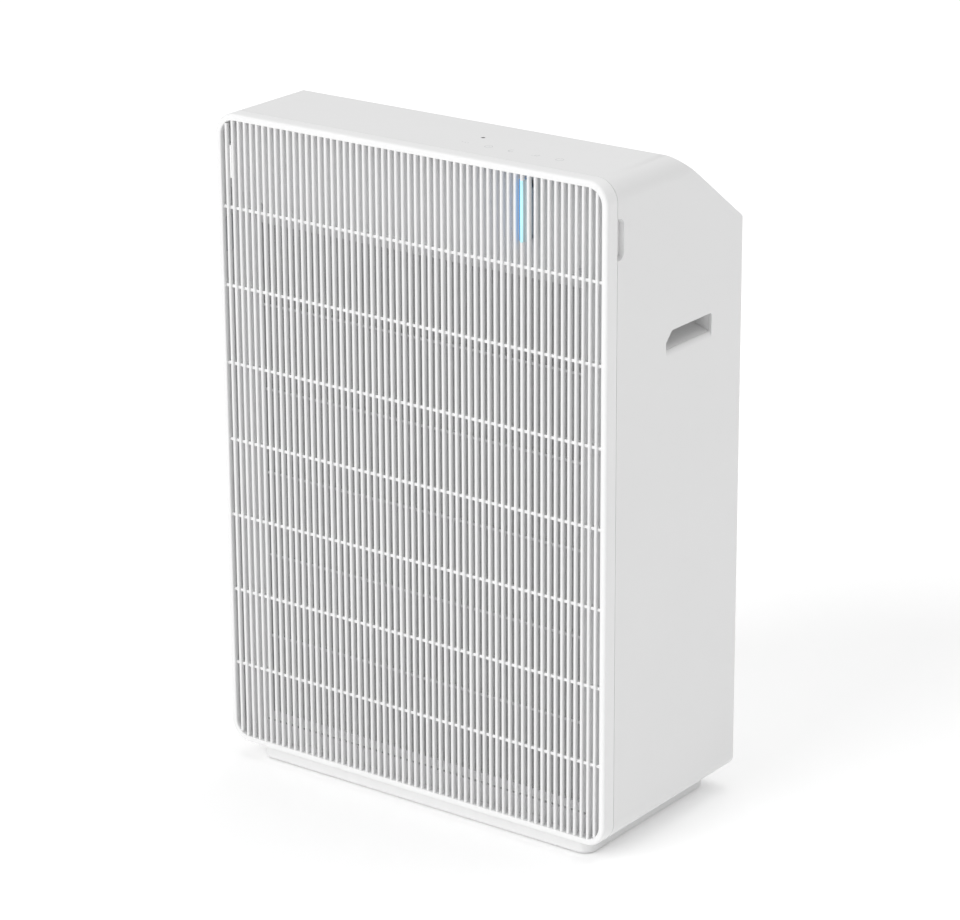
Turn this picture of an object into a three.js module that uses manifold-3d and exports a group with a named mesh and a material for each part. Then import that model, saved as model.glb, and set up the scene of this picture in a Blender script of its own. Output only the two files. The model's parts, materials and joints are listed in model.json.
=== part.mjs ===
// A flat, free-standing room air purifier with a ribbed pull-off front cover.
// Millimetres, +Z up. The front faces -Y, and the origin is on the floor under the middle of the housing.
// Depths are given "from the front": at(12) is 12 mm behind the foremost face of the cover.

import * as THREE from 'three';
import { mergeVertices } from 'three/addons/utils/BufferGeometryUtils.js';
import Module from 'manifold-3d';

const wasm = await Module();
wasm.setup();

// ---------------------------------------------------------------- driving sizes

// Housing
const WIDTH = 410;
const DEPTH = 208;
const BODY_HEIGHT = 586;        // cover and housing, without the plinth
const FOOT_LIFT = 17;           // floor to the underside of the housing
const CORNER_R = 20;            // corners seen from the front
const REAR_EDGE_R = 8;          // upright rear edges
const WALL = 2.6;
const INNER_WALL = 2.2;         // mouldings inside the housing
const GAP = 0.3;                // between pieces that rest on each other
const SLIDE_GAP = 0.9;          // around a piece that lifts out
const BITE = 1;                 // how far joined shapes run into each other
const BEYOND = 5;               // how far a cut runs past the surface
const FLAT_TOP = 104;           // front to where the sloping top at the rear starts
const CHAMFER_DROP = 77;        // and the slope's height
const CHAMFER_TOP_R = 12;
const CHAMFER_LOW_R = 6;

// Front cover
const COVER_DEPTH = 14.5;
const RIM_FACE = 5.8;
const RIB_WIDTH = 2.8;
const RIB_SLOT = 4.0;
const RIB_SETBACK = 0.6;
const RIB_DEPTH = 3.6;
const BAR_HEIGHT = 2.6;
const BAR_DEPTH = 2.5;
const BAR_PITCH = 71.1;
const FIRST_BAR_DROP = 84.4;    // top of the cover to the first cross-bar
const LAST_BAR_CLEAR = 60;      // least distance from the last cross-bar to the bottom of the cover
const LUG_WIDTH = 20;
const LUG_HEIGHT = 3;
const LUG_REACH = 4.5;          // how far a lug passes behind the cover's rear edge
const LUG_INSET = 85;           // side of the cover to a lug

// Status light
const STATUS_RIB_FROM_RIGHT = 12;
const STATUS_LENGTH = 52;
const STATUS_DROP = 11;
const STATUS_FLANGE = 9;
const STATUS_FLANGE_DEPTH = 1.5;
const STATUS_WINDOW = 4;        // opening in the fascia behind the light
const STATUS_WINDOW_DROP = 2;

// Chassis and filters
const CHASSIS_SETBACK = 0.8;
const BAY_SIDE = 24.5;          // side of the housing to the filter opening
const BAY_BELOW = 20;
const BAY_ABOVE = 89;
const POST_R = 4.5;             // screw posts that hold the fascia
const POST_LENGTH = 13.7;
const POST_BITE = 0.4;
const POST_IN = 12;             // side of the filter opening to a post
const FILTER_SETBACK = 2;
const FILTER_SPACE = 1;
const PREFILTER_FRAME_DEPTH = 4;
const PREFILTER_NET = 0.7;
const PREFILTER_BORDER = 8;
const PREFILTER_BAR = 2.4;
const PREFILTER_ROWS = 6;
const CARBON_DEPTH = 12;
const CARBON_BORDER = 5;
const CARBON_SETBACK = 1;       // frame's edge to the core
const HEPA_DEPTH = 38;
const HEPA_BORDER = 6;
const PLEAT_PITCH = 7.6;
const PAPER = 0.8;
const PLEAT_SETBACK = 2;        // frame's edge to the folds
const TAB_WIDTH = 18;
const TAB_LENGTH = 42;
const TAB_DROP = 4;
const GASKET_DEPTH = 2;
const GASKET_WIDTH = 8;
const BULKHEAD = 2.4;

// Fan
const FAN_R = 105;
const BLADE_INNER_R = 87;
const BLADES = 32;
const BLADE_THICKNESS = 1.3;
const BLADE_SWEEP = 13;         // degrees by which a blade's tip leads its root
const THROAT_R = 80;
const DISC = 2.6;
const SHROUD_WIDTH = 9;
const FAN_FRONT_GAP = 14;
const FAN_REAR_GAP = 10;
const FAN_BELOW_BAY_CENTRE = 25;
const HUB_R = 15;
const HUB_LENGTH = 16;
const BLADE_STEPS = 2;
const BLADE_TIP_BITE = 1;
const DISH_DEPTH = 30;
const DISH_R = 72;
const SHAFT_R = 4;
const NUT_R = 8;
const NUT_LENGTH = 5;
const SHAFT_BEYOND_HUB = 7;
const RUNNING = 0.4;            // radial clearance of what turns
const SCROLL_START_CLEAR = 8;   // tip of the impeller to where the scroll starts
const SCROLL_END_CLEAR = 55;    // and to where it ends
const SCROLL_STEPS = 26;
const TONGUE_ANGLE = 110;
const DUCT_SIDE = 55;           // side of the housing to the outlet duct
const DUCT_BELOW_CHAMFER = 20;
const REAR_SPACE = 37.5;        // housing's rear face to the front of the scroll's rear plate
const GUARD_RINGS = 3;
const GUARD_SPOKES = 6;
const GUARD_BAR = 2.4;
const GUARD_HUB_R = 20;
const GUARD_CLEAR = 1.5;
const INLET_R = 100;
const BELLMOUTH_WALL = 1.6;
const BELLMOUTH_FLANGE = 10;
const BELLMOUTH_REACH = 3;      // how far it reaches into the impeller
const BELLMOUTH_STEPS = 4;

// Motor
const MOTOR_R = 46;
const MOTOR_NOSE = 21;          // in front of the scroll's rear plate
const MOTOR_LENGTH = 46;
const MOTOR_FLANGE_R = 68;
const MOTOR_HOLE_CLEAR = 5;
const MOTOR_END_WALL = 7;
const MOTOR_CAP = 2;            // metal behind the rear bearing
const MOTOR_BEVEL = 6;
const BEARING_SETBACK = 1;
const ROTOR_R = 23;
const ROTOR_SPACE = 2;
const BEARING_R = 9;
const MOUNT_CIRCLE_R = 60;
const MOUNTS = 3;
const GROMMET_R = 6;
const GROMMET_HEIGHT = 2.4;

// Outlet grille on the sloping top
const GRILLE_FROM_EDGE = 14;
const GRILLE_LENGTH = 66;
const GRILLE_BORDER = 6;
const GRILLE_LIP = 4;
const GRILLE_LIP_DEPTH = 1.6;

// Rear panel, mains inlet, screws
const PANEL_SIDE = 19;          // side of the housing to the rear panel
const PANEL_BELOW = 27;
const PANEL_ABOVE = 26;         // rear panel to the low edge of the sloping top
const PANEL_SETBACK = 2;
const PANEL_R = 8;
const LEDGE_WIDTH = 9;
const LEDGE_DEPTH = 2.3;
const SCREW_FROM_EDGE = 5;
const SCREW_HEAD_R = 3;
const SCREW_HEAD = 1.5;
const SCREW_SHANK_R = 1.4;
const SCREW_LENGTH = 4.4;
const SCREW_POINT = 0.6;
const SCREW_CROWN = 0.7;        // head's top as a share of its rim
const MOTOR_SCREW_SCALE = 1.2;
const REAR_SCREW_SCALE = 0.9;
const SOCKET_WIDTH = 24;
const SOCKET_HEIGHT = 17;
const SOCKET_WALL = 2.4;
const SOCKET_R = 3;
const SOCKET_DEPTH = 15;
const SOCKET_FLANGE = 3;
const SOCKET_FLANGE_DEPTH = 1.4;
const SOCKET_FROM_SIDE = 60;
const SOCKET_ABOVE_PANEL_EDGE = 26;
const PIN_R = 1.2;
const PIN_PITCH = 8.6;
const PIN_LENGTH = 9;

// Handles and grip notches in the sides
const HANDLE_DROP = 147;        // top of the housing to the top of the handle slot
const HANDLE_HEIGHT = 17;
const HANDLE_BEHIND_BULKHEAD = 7.4;
const HANDLE_FROM_REAR = 52;
const HANDLE_SLANT = 9;
const HANDLE_R = 3;
const HANDLE_REAR_R = 1.5;
const HANDLE_SLANT_R = 4;
const CUP_DEPTH = 24;
const CUP_WALL = 1.8;
const CUP_RISE = 15;            // finger room above the slot
const CUP_FLOOR_RISE = 9;       // the floor climbs inwards
const NOTCH_DROP = 33;
const NOTCH_LENGTH = 35;
const NOTCH_REACH = 9.2;
const NOTCH_DEPTH = 5;
const NOTCH_R = 6;
const NOTCH_WALL = 2;
const MAGNET_LENGTH = 30;
const MAGNET_BELOW_NOTCH = 28;
const MAGNET_THICKNESS = 2.5;
const STRIKE_THICKNESS = 0.8;
const STRIKE_WIDTH = 5.2;

// Plinth
const PLINTH_SIDE = 24;
const PLINTH_FRONT = 12;
const PLINTH_REAR = 12;
const PLINTH_R = 12;
const PLINTH_FLOOR_GAP = 1.6;
const PLINTH_TOP = 2.4;
const PAD_R = 11;
const PAD_HEIGHT = 2.8;
const PAD_BEVEL = 1;
const PAD_POST_R = 13;
const PAD_INSET = 26;

// Electronics
const BOARD = 1.6;
const BOARD_OFF = 3.6;
const MAIN_BOARD_WIDTH = 64;
const MAIN_BOARD_HEIGHT = 78;
const MAIN_BOARD_FROM_REAR = 60;
const MAIN_BOARD_EDGE = 8;      // housing's inner faces to the main board
const SOLDER_BITE = 0.4;        // how far a component's body runs into its board
const TRANSFORMER = { x: 6, z: 8, width: 26, height: 22, depth: 20 };
const MAINS_FILTER = { x: 40, z: 10, width: 18, height: 14, depth: 12 };
const CONTROLLER = { x: 6, z: 42, width: 20, height: 20, depth: 3 };
const CONNECTORS = { x: 34, z: 66, width: 24, height: 8, depth: 8 };
const CAPACITOR = { x: 48, z: 44, radius: 6, depth: 18 };
const CONTROL_BOARD_WIDTH = 132;
const CONTROL_BOARD_DEPTH = 44;
const CONTROL_BOARD_X = 82;
const CONTROL_BOARD_FROM_FASCIA = 6;
const TOUCH_CHIP = { x: 50, y: 10, width: 20, length: 20, drop: 3 };
const TOUCH_PAD_SHIFT = 6;      // middle of the control board to the row of touch pads
const STATUS_BOARD_WIDTH = 20;
const STATUS_BOARD_BELOW = 4;
const STATUS_BOARD_DROP = 8;
const STATUS_LED_WIDTH = 3.2;
const STATUS_LED_IN = 3;
const TOUCH_PADS = 5;
const TOUCH_PAD_R = 6;
const TOUCH_PAD_PITCH = 24;
const LENS_R = 1.6;
const LENS_X = 37;
const LENS_FROM_FRONT = 61;
const LENS_LENGTH = 5;
const SENSOR_WIDTH = 46;
const SENSOR_HEIGHT = 38;
const SENSOR_DEPTH = 20;
const SENSOR_X = -128;
const VENT_SLOTS = 6;
const VENT_SLOT = 2.4;
const VENT_LENGTH = 36;
const SENSOR_EYE_R = 6;
const SENSOR_EYE_DEPTH = 12;
const VENT_PITCH = 6;

// ---------------------------------------------------------------- derived places

const TOP = FOOT_LIFT + BODY_HEIGHT;
const BACK = DEPTH / 2;
const at = (fromFront) => fromFront - DEPTH / 2;

const bodyFront = COVER_DEPTH + GAP;
const chassisFront = bodyFront + CHASSIS_SETBACK;
const chassisRear = chassisFront + INNER_WALL;

const bayWidth = WIDTH - 2 * BAY_SIDE;
const bayBottom = FOOT_LIFT + BAY_BELOW;
const bayTop = TOP - BAY_ABOVE;
const bayHeight = bayTop - bayBottom;
const bayCentre = (bayTop + bayBottom) / 2;
const filterWidth = bayWidth - 2 * SLIDE_GAP;
const filterHeight = bayHeight - 2 * SLIDE_GAP;

const prefilterFront = chassisFront + FILTER_SETBACK;
const netFront = prefilterFront + PREFILTER_FRAME_DEPTH + GAP;
const carbonFront = netFront + PREFILTER_NET + FILTER_SPACE;
const hepaFront = carbonFront + CARBON_DEPTH + FILTER_SPACE;
const gasketFront = hepaFront + HEPA_DEPTH + GAP;
const bulkheadFront = gasketFront + GASKET_DEPTH + GAP;
const bulkheadRear = bulkheadFront + BULKHEAD;

const scrollFront = bulkheadRear + GAP;
const scrollPlate = DEPTH - REAR_SPACE;
const scrollRear = scrollPlate + INNER_WALL;
const scrollStartR = FAN_R + SCROLL_START_CLEAR;
const scrollEndR = FAN_R + SCROLL_END_CLEAR;
const scrollGrowth = (scrollEndR - scrollStartR) / (360 - TONGUE_ANGLE);
const scrollLeftR = scrollStartR + scrollGrowth * (180 - TONGUE_ANGLE);
const fanX = (scrollLeftR - scrollEndR) / 2;
const fanZ = bayCentre - FAN_BELOW_BAY_CENTRE;
const fanFront = bulkheadRear + FAN_FRONT_GAP;
const fanRear = scrollPlate - FAN_REAR_GAP;
const motorFront = scrollPlate - MOTOR_NOSE;
const motorRear = motorFront + MOTOR_LENGTH;
const motorFlange = scrollRear + GROMMET_HEIGHT + 2 * GAP;

const chamferAngle = Math.atan2(CHAMFER_DROP, DEPTH - FLAT_TOP);
const ductHalf = WIDTH / 2 - DUCT_SIDE;

const panelOuter = DEPTH - PANEL_SETBACK;
const panelInner = panelOuter - WALL;
const panelWidth = WIDTH - 2 * PANEL_SIDE;
const panelBottom = FOOT_LIFT + PANEL_BELOW;
const panelTop = TOP - CHAMFER_DROP - PANEL_ABOVE;

const notchBottom = TOP - NOTCH_DROP - NOTCH_LENGTH;
const magnetTop = notchBottom - MAGNET_BELOW_NOTCH;
const handleTop = TOP - HANDLE_DROP;
const handleBottom = handleTop - HANDLE_HEIGHT;
const handleRear = DEPTH - HANDLE_FROM_REAR;
const handleFront = bulkheadRear + HANDLE_BEHIND_BULKHEAD;

// ---------------------------------------------------------------- shapes and solids

const SMOOTH = 3;               // half the segments in a rounded corner
const ROUND = 32;               // segments in a large circle
const SMALL_ROUND = 12;         // segments in a small circle
const BEARING_ROUND = 24;       // segments of the shaft, bearings and foot pads

const degrees = (angle) => angle * Math.PI / 180;

// Moves each corner [u, v, radius] of an anticlockwise outline outwards by a distance.
function offsetOutline(corners, distance) {
  return corners.map(([u, v, radius = 0], i) => {
    const [beforeU, beforeV] = corners.at(i - 1);
    const [afterU, afterV] = corners[(i + 1) % corners.length];
    const into = new THREE.Vector2(u - beforeU, v - beforeV).normalize();
    const out = new THREE.Vector2(afterU - u, afterV - v).normalize();
    const scale = distance / (1 + into.dot(out));
    const turn = Math.sign(into.cross(out));
    const newRadius = radius > 0 ? Math.max(radius + turn * distance, 0) : 0;
    return [u + (into.y + out.y) * scale, v - (into.x + out.x) * scale, newRadius];
  });
}

// Draws a closed outline through corners [u, v, radius], each rounded by its radius.
function outline(corners, path = new THREE.Shape()) {
  corners.forEach(([u, v, radius = 0], i) => {
    const [beforeU, beforeV] = corners.at(i - 1);
    const [afterU, afterV] = corners[(i + 1) % corners.length];
    const corner = new THREE.Vector2(u, v);
    const back = new THREE.Vector2(beforeU - u, beforeV - v).normalize();
    const ahead = new THREE.Vector2(afterU - u, afterV - v).normalize();
    if (radius === 0) {
      if (i === 0) path.moveTo(u, v);
      else path.lineTo(u, v);
      return;
    }
    const half = Math.acos(back.dot(ahead)) / 2;
    const centre = back.clone().add(ahead).setLength(radius / Math.sin(half)).add(corner);
    const start = back.clone().multiplyScalar(radius / Math.tan(half)).add(corner).sub(centre);
    const end = ahead.clone().multiplyScalar(radius / Math.tan(half)).add(corner).sub(centre);
    const clockwise = back.cross(ahead) > 0;
    if (i === 0) path.moveTo(centre.x + start.x, centre.y + start.y);
    path.absarc(centre.x, centre.y, radius, start.angle(), end.angle(), clockwise);
  });
  path.closePath();
  return path;
}

function rectangle(left, right, low, high, radius = 0) {
  return [[left, low, radius], [right, low, radius], [right, high, radius], [left, high, radius]];
}

const hole = (corners) => outline(corners, new THREE.Path());

function circleHole(u, v, radius) {
  const path = new THREE.Path();
  path.absarc(u, v, radius, 0, 2 * Math.PI, true);
  return path;
}

function extrude(shape, depth, curveSegments = SMOOTH) {
  return new THREE.ExtrudeGeometry(shape, { depth, curveSegments, bevelEnabled: false });
}

// A slab whose outline is drawn as seen from the front, between two depths.
function slabFacingFront(shape, front, rear, curveSegments = SMOOTH) {
  return extrude(shape, rear - front, curveSegments).rotateX(Math.PI / 2).translate(0, at(rear), 0);
}

// A slab whose outline is drawn in plan, between two heights.
function slabInPlan(shape, low, high, curveSegments = SMOOTH) {
  return extrude(shape, high - low, curveSegments).translate(0, 0, low);
}

// A slab whose outline is drawn as (Y, Z), between two places across the width.
function slabFromSide(shape, left, right, curveSegments = SMOOTH) {
  const turn = new THREE.Matrix4().makeBasis(
    new THREE.Vector3(0, 1, 0),
    new THREE.Vector3(0, 0, 1),
    new THREE.Vector3(1, 0, 0),
  );
  return extrude(shape, right - left, curveSegments).applyMatrix4(turn).translate(left, 0, 0);
}

function block(left, right, front, rear, low, high) {
  const geometry = new THREE.BoxGeometry(right - left, rear - front, high - low);
  return geometry.translate((left + right) / 2, at((front + rear) / 2), (low + high) / 2);
}

// A body turned about the Y direction, from a profile of [radius, y] points.
function turned(profile, segments = ROUND) {
  const points = profile.map(([radius, y]) => new THREE.Vector2(radius, y));
  return new THREE.LatheGeometry(points, segments);
}

// A ring about the Y direction.
function ring(innerR, outerR, near, far, segments = ROUND) {
  return turned([[innerR, near], [outerR, near], [outerR, far], [innerR, far], [innerR, near]], segments);
}

function rod(radius, near, far, segments = SMALL_ROUND) {
  return turned([[0, near], [radius, near], [radius, far], [0, far]], segments);
}

function signedVolume(positions, triangles) {
  const corner = [new THREE.Vector3(), new THREE.Vector3(), new THREE.Vector3()];
  let volume = 0;
  for (let i = 0; i < triangles.length; i += 3) {
    corner.forEach((point, k) => point.fromArray(positions, 3 * triangles[i + k]));
    volume += corner[0].dot(corner[1].clone().cross(corner[2])) / 6;
  }
  return volume;
}

// Welds a geometry into one closed skin with its faces outwards.
function welded(geometry) {
  const bare = geometry.clone();
  bare.deleteAttribute('normal');
  bare.deleteAttribute('uv');
  const skin = mergeVertices(bare, 1e-4);
  const corners = Array.from(skin.index.array);
  const triangles = [];
  for (let i = 0; i < corners.length; i += 3) {
    const [a, b, c] = corners.slice(i, i + 3);
    if (a !== b && b !== c && c !== a) triangles.push(a, b, c);
  }
  if (signedVolume(skin.attributes.position.array, triangles) < 0) triangles.reverse();
  skin.setIndex(triangles);
  return skin;
}

function solid(geometry) {
  const skin = welded(geometry);
  return new wasm.Manifold(new wasm.Mesh({
    numProp: 3,
    vertProperties: new Float32Array(skin.attributes.position.array),
    triVerts: new Uint32Array(skin.index.array),
  }));
}

function join(geometries) {
  return geometries.map(solid).reduce((whole, next) => whole.add(next));
}

function cut(body, geometries) {
  return geometries.map(solid).reduce((rest, tool) => rest.subtract(tool), body);
}

function geometryOf(body) {
  const mesh = body.getMesh();
  const geometry = new THREE.BufferGeometry();
  geometry.setAttribute('position', new THREE.BufferAttribute(mesh.vertProperties, 3));
  geometry.setIndex(new THREE.BufferAttribute(mesh.triVerts, 1));
  return geometry;
}

// ---------------------------------------------------------------- finishes

const finish = (color, roughness, metalness = 0) =>
  new THREE.MeshStandardMaterial({ color, roughness, metalness });

const whitePlastic = finish(0xf0f0f0, 0.5);
const chassisPlastic = finish(0xdcdddd, 0.6);
const greyPlastic = finish(0x9a9c9e, 0.6);
const darkPlastic = finish(0x3c3f42, 0.6);
const netFabric = finish(0x55585a, 0.8);
const filterPaper = finish(0xf4f4ee, 0.9);
const carbon = finish(0x1d1e20, 0.9);
const foam = finish(0x2a2b2c, 0.95);
const rubber = finish(0x26272a, 0.9);
const steel = finish(0xb9bcc0, 0.35, 1);
const brass = finish(0xc8a64b, 0.35, 1);
const circuitBoard = finish(0x2b6b3d, 0.5);
const lightGuide = finish(0xb9f7ff, 0.3);
const smokedLens = finish(0x33373b, 0.2);
const fabricTape = finish(0x3f6fa8, 0.8);

const purifier = new THREE.Group();

function place(name, shape, material, parent = purifier) {
  const geometry = shape instanceof wasm.Manifold ? geometryOf(shape) : welded(shape);
  const mesh = new THREE.Mesh(geometry, material);
  mesh.name = name;
  parent.add(mesh);
  return mesh;
}

// ---------------------------------------------------------------- housing envelope

const frontView = rectangle(-WIDTH / 2, WIDTH / 2, FOOT_LIFT, TOP, CORNER_R);

const sideView = (front) => [
  [at(front), FOOT_LIFT],
  [BACK, FOOT_LIFT],
  [BACK, TOP - CHAMFER_DROP, CHAMFER_LOW_R],
  [at(FLAT_TOP), TOP, CHAMFER_TOP_R],
  [at(front), TOP],
];

const planView = (front) => [
  [-WIDTH / 2, at(front)],
  [WIDTH / 2, at(front)],
  [WIDTH / 2, BACK, REAR_EDGE_R],
  [-WIDTH / 2, BACK, REAR_EDGE_R],
];

// The housing's outside, or a smaller copy of it that lies an inset inside and starts at its own front.
function envelope(inset, front) {
  const reach = front - inset;
  const shrink = (corners) => outline(offsetOutline(corners, -inset));
  const seenFromFront = solid(slabFacingFront(shrink(frontView), front, DEPTH));
  const seenFromSide = solid(slabFromSide(shrink(sideView(reach)), -WIDTH, WIDTH));
  const seenFromTop = solid(slabInPlan(shrink(planView(reach)), 0, 2 * TOP));
  return seenFromFront.intersect(seenFromSide).intersect(seenFromTop);
}

const roomInside = envelope(WALL + GAP, chassisFront);

// ---------------------------------------------------------------- front cover

const slotWidth = WIDTH - 2 * RIM_FACE;
const ribCount = Math.round((slotWidth - RIB_SLOT) / (RIB_WIDTH + RIB_SLOT));
const ribPitch = (slotWidth + RIB_WIDTH) / (ribCount + 1);
const ribX = (i) => -slotWidth / 2 - RIB_WIDTH / 2 + (i + 1) * ribPitch;
const barCount = Math.floor((BODY_HEIGHT - FIRST_BAR_DROP - LAST_BAR_CLEAR) / BAR_PITCH) + 1;
const ribRear = RIB_SETBACK + RIB_DEPTH;
const statusX = ribX(ribCount - STATUS_RIB_FROM_RIGHT);
const statusTop = TOP - STATUS_DROP;
const statusBottom = statusTop - STATUS_LENGTH;
const lugX = WIDTH / 2 - LUG_INSET;
const lugLow = FOOT_LIFT + WALL + GAP;

function frontCover() {
  const face = outline(frontView);
  const opening = offsetOutline(frontView, -RIM_FACE);
  face.holes.push(hole(opening));
  const skirt = outline(frontView);
  skirt.holes.push(hole(offsetOutline(frontView, -WALL)));

  const pieces = [
    slabFacingFront(face, 0, ribRear),
    slabFacingFront(skirt, ribRear - BITE, COVER_DEPTH),
  ];
  const ribs = [];
  for (let i = 0; i < ribCount; i += 1) {
    const left = ribX(i) - RIB_WIDTH / 2;
    ribs.push(block(left, left + RIB_WIDTH, RIB_SETBACK, ribRear, FOOT_LIFT + BITE, TOP - BITE));
  }
  // The ribs run into the rim, whose inner outline is rounded at the corners.
  const inRim = solid(slabFacingFront(outline(offsetOutline(frontView, -RIM_FACE / 2)), 0, COVER_DEPTH));
  const bars = [];
  for (let i = 0; i < barCount; i += 1) {
    const z = TOP - FIRST_BAR_DROP - i * BAR_PITCH;
    const half = slotWidth / 2 + RIM_FACE / 2;
    bars.push(block(-half, half, ribRear, ribRear + BAR_DEPTH, z - BAR_HEIGHT / 2, z + BAR_HEIGHT / 2));
  }
  const lugs = [-lugX, lugX].map((x) => block(
    x - LUG_WIDTH / 2, x + LUG_WIDTH / 2,
    ribRear - BITE, COVER_DEPTH + LUG_REACH, lugLow, lugLow + LUG_HEIGHT,
  ));
  const statusSlot = block(
    statusX - RIB_WIDTH, statusX + RIB_WIDTH, -BEYOND, COVER_DEPTH, statusBottom - GAP, statusTop + GAP,
  );
  const grid = join(ribs).intersect(inRim).add(join(bars));
  return cut(join([...pieces, ...lugs]).add(grid), [statusSlot]);
}

function statusLightGuide() {
  const half = RIB_WIDTH / 2;
  const flangeFront = ribRear + GAP;
  return join([
    block(statusX - half, statusX + half, RIB_SETBACK, COVER_DEPTH - GAP, statusBottom, statusTop),
    block(
      statusX - STATUS_FLANGE / 2, statusX + STATUS_FLANGE / 2,
      flangeFront, flangeFront + STATUS_FLANGE_DEPTH, statusBottom, statusTop,
    ),
  ]);
}

// A block on one side, between two distances from the middle plane.
function sideBlock(side, inner, outer, front, rear, low, high) {
  const [left, right] = side < 0 ? [-outer, -inner] : [inner, outer];
  return block(left, right, front, rear, low, high);
}

const wallInside = WIDTH / 2 - WALL - GAP;

function coverMagnet(side) {
  const inner = wallInside - MAGNET_THICKNESS;
  return sideBlock(
    side, inner, wallInside, ribRear + GAP, COVER_DEPTH - GAP, magnetTop - MAGNET_LENGTH, magnetTop,
  );
}

function strikePlate(side) {
  const rear = chassisFront - GAP;
  const inner = wallInside - STRIKE_WIDTH;
  return sideBlock(
    side, inner, wallInside, rear - STRIKE_THICKNESS, rear, magnetTop - MAGNET_LENGTH, magnetTop,
  );
}

place('front_cover', frontCover(), whitePlastic);
place('status_light_guide', statusLightGuide(), lightGuide);
place('cover_magnet_left', coverMagnet(-1), steel);
place('cover_magnet_right', coverMagnet(1), steel);
place('strike_plate_left', strikePlate(-1), steel);
place('strike_plate_right', strikePlate(1), steel);

// ---------------------------------------------------------------- main shell

// Where the sloping top carries the grille: X across, Y down the slope, Z out of it.
const grilleMiddle = GRILLE_FROM_EDGE + GRILLE_LENGTH / 2;
const slopeFrame = new THREE.Matrix4().makeRotationX(-chamferAngle).setPosition(
  0,
  at(FLAT_TOP) + grilleMiddle * Math.cos(chamferAngle),
  TOP - grilleMiddle * Math.sin(chamferAngle),
);

function onSlope(width, length, low, high) {
  const slab = new THREE.BoxGeometry(width, length, high - low).translate(0, 0, (low + high) / 2);
  return slab.applyMatrix4(slopeFrame);
}

function handleSlot(side, deep) {
  const slot = outline([
    [at(handleFront), handleBottom, HANDLE_R],
    [at(handleRear), handleBottom, HANDLE_REAR_R],
    [at(handleRear), handleTop, HANDLE_REAR_R],
    [at(handleFront) + HANDLE_SLANT, handleTop, HANDLE_SLANT_R],
    [at(handleFront), handleTop - HANDLE_SLANT, HANDLE_R],
  ]);
  return acrossSide(side, slot, deep, -BEYOND, SMOOTH);
}

const notchView = (grow) => offsetOutline([
  [at(COVER_DEPTH) - BEYOND, notchBottom],
  [at(COVER_DEPTH) + NOTCH_REACH, notchBottom, NOTCH_R],
  [at(COVER_DEPTH) + NOTCH_REACH, notchBottom + NOTCH_LENGTH, NOTCH_R],
  [at(COVER_DEPTH) - BEYOND, notchBottom + NOTCH_LENGTH],
], grow);

// A slab drawn as (Y, Z) that lies between two depths below one side of the housing.
function acrossSide(side, shape, inner, outer, curveSegments = 2) {
  const [left, right] = side < 0
    ? [outer - WIDTH / 2, inner - WIDTH / 2]
    : [WIDTH / 2 - inner, WIDTH / 2 - outer];
  return slabFromSide(shape, left, right, curveSegments);
}

const panelView = rectangle(-panelWidth / 2, panelWidth / 2, panelBottom, panelTop, PANEL_R);
const panelScrewPlaces = [-1, 1].flatMap((side) => [
  [side * (panelWidth / 2 - SCREW_FROM_EDGE), panelBottom + SCREW_FROM_EDGE],
  [side * (panelWidth / 2 - SCREW_FROM_EDGE), panelTop - SCREW_FROM_EDGE],
]);

function screwHoles(places, radius, front, rear) {
  return places.map(([x, z]) => rod(radius, at(front), at(rear)).translate(x, 0, z));
}

function mainShell() {
  const hollow = envelope(WALL, 0);
  const frontTrim = block(-WIDTH, WIDTH, -BEYOND, bodyFront, 0, 2 * TOP);
  let body = cut(envelope(0, 0), [frontTrim]).subtract(hollow);

  const ledge = outline(offsetOutline(panelView, WALL));
  ledge.holes.push(hole(offsetOutline(panelView, -LEDGE_WIDTH)));
  const ledgeRear = panelInner - GAP;
  const surround = outline(offsetOutline(panelView, WALL));
  surround.holes.push(hole(offsetOutline(panelView, GAP)));
  const seat = outline(offsetOutline(panelView, GAP));
  body = cut(body, [slabFacingFront(seat, DEPTH - 2 * WALL, DEPTH + BEYOND)]);
  body = body.add(solid(slabFacingFront(ledge, ledgeRear - LEDGE_DEPTH, ledgeRear)));
  body = body.add(solid(slabFacingFront(surround, ledgeRear - LEDGE_DEPTH, DEPTH - WALL / 2)));

  for (const side of [-1, 1]) {
    const pocket = outline(notchView(NOTCH_WALL));
    const boss = solid(acrossSide(side, pocket, NOTCH_DEPTH + NOTCH_WALL, WALL / 2));
    body = body.add(cut(boss, [frontTrim]));
    body = cut(body, [
      acrossSide(side, outline(notchView(0)), NOTCH_DEPTH, -BEYOND),
      handleSlot(side, WALL + 2),
    ]);
  }
  return cut(body, [
    onSlope(2 * ductHalf + 2 * GAP, GRILLE_LENGTH + 2 * GAP, -3 * WALL, WALL),
    ...screwHoles(panelScrewPlaces, SCREW_SHANK_R + GAP, ledgeRear - 2 * LEDGE_DEPTH, ledgeRear + BEYOND),
    rod(LENS_R + GAP, TOP - 2 * WALL, TOP + WALL).rotateX(Math.PI / 2)
      .translate(LENS_X, at(LENS_FROM_FRONT), 0),
  ]);
}

place('main_shell', mainShell(), whitePlastic);

// ---------------------------------------------------------------- handle cups

function handleCup(side) {
  const inner = wallInside - CUP_DEPTH + CUP_WALL;
  const roof = handleTop + CUP_RISE;
  const inside = [
    [side * (wallInside + BITE), handleBottom],
    [side * (wallInside + BITE), roof],
    [side * inner, roof],
    [side * inner, handleBottom + CUP_FLOOR_RISE],
  ];
  const anticlockwise = side > 0 ? inside : inside.slice().reverse();
  const box = offsetOutline(anticlockwise, CUP_WALL);
  const shell = solid(slabFacingFront(outline(box), handleFront - CUP_WALL, handleRear + CUP_WALL));
  const trim = sideBlock(side, wallInside, WIDTH, 0, DEPTH, 0, TOP);
  return cut(shell, [slabFacingFront(outline(anticlockwise), handleFront, handleRear), trim]);
}

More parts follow.
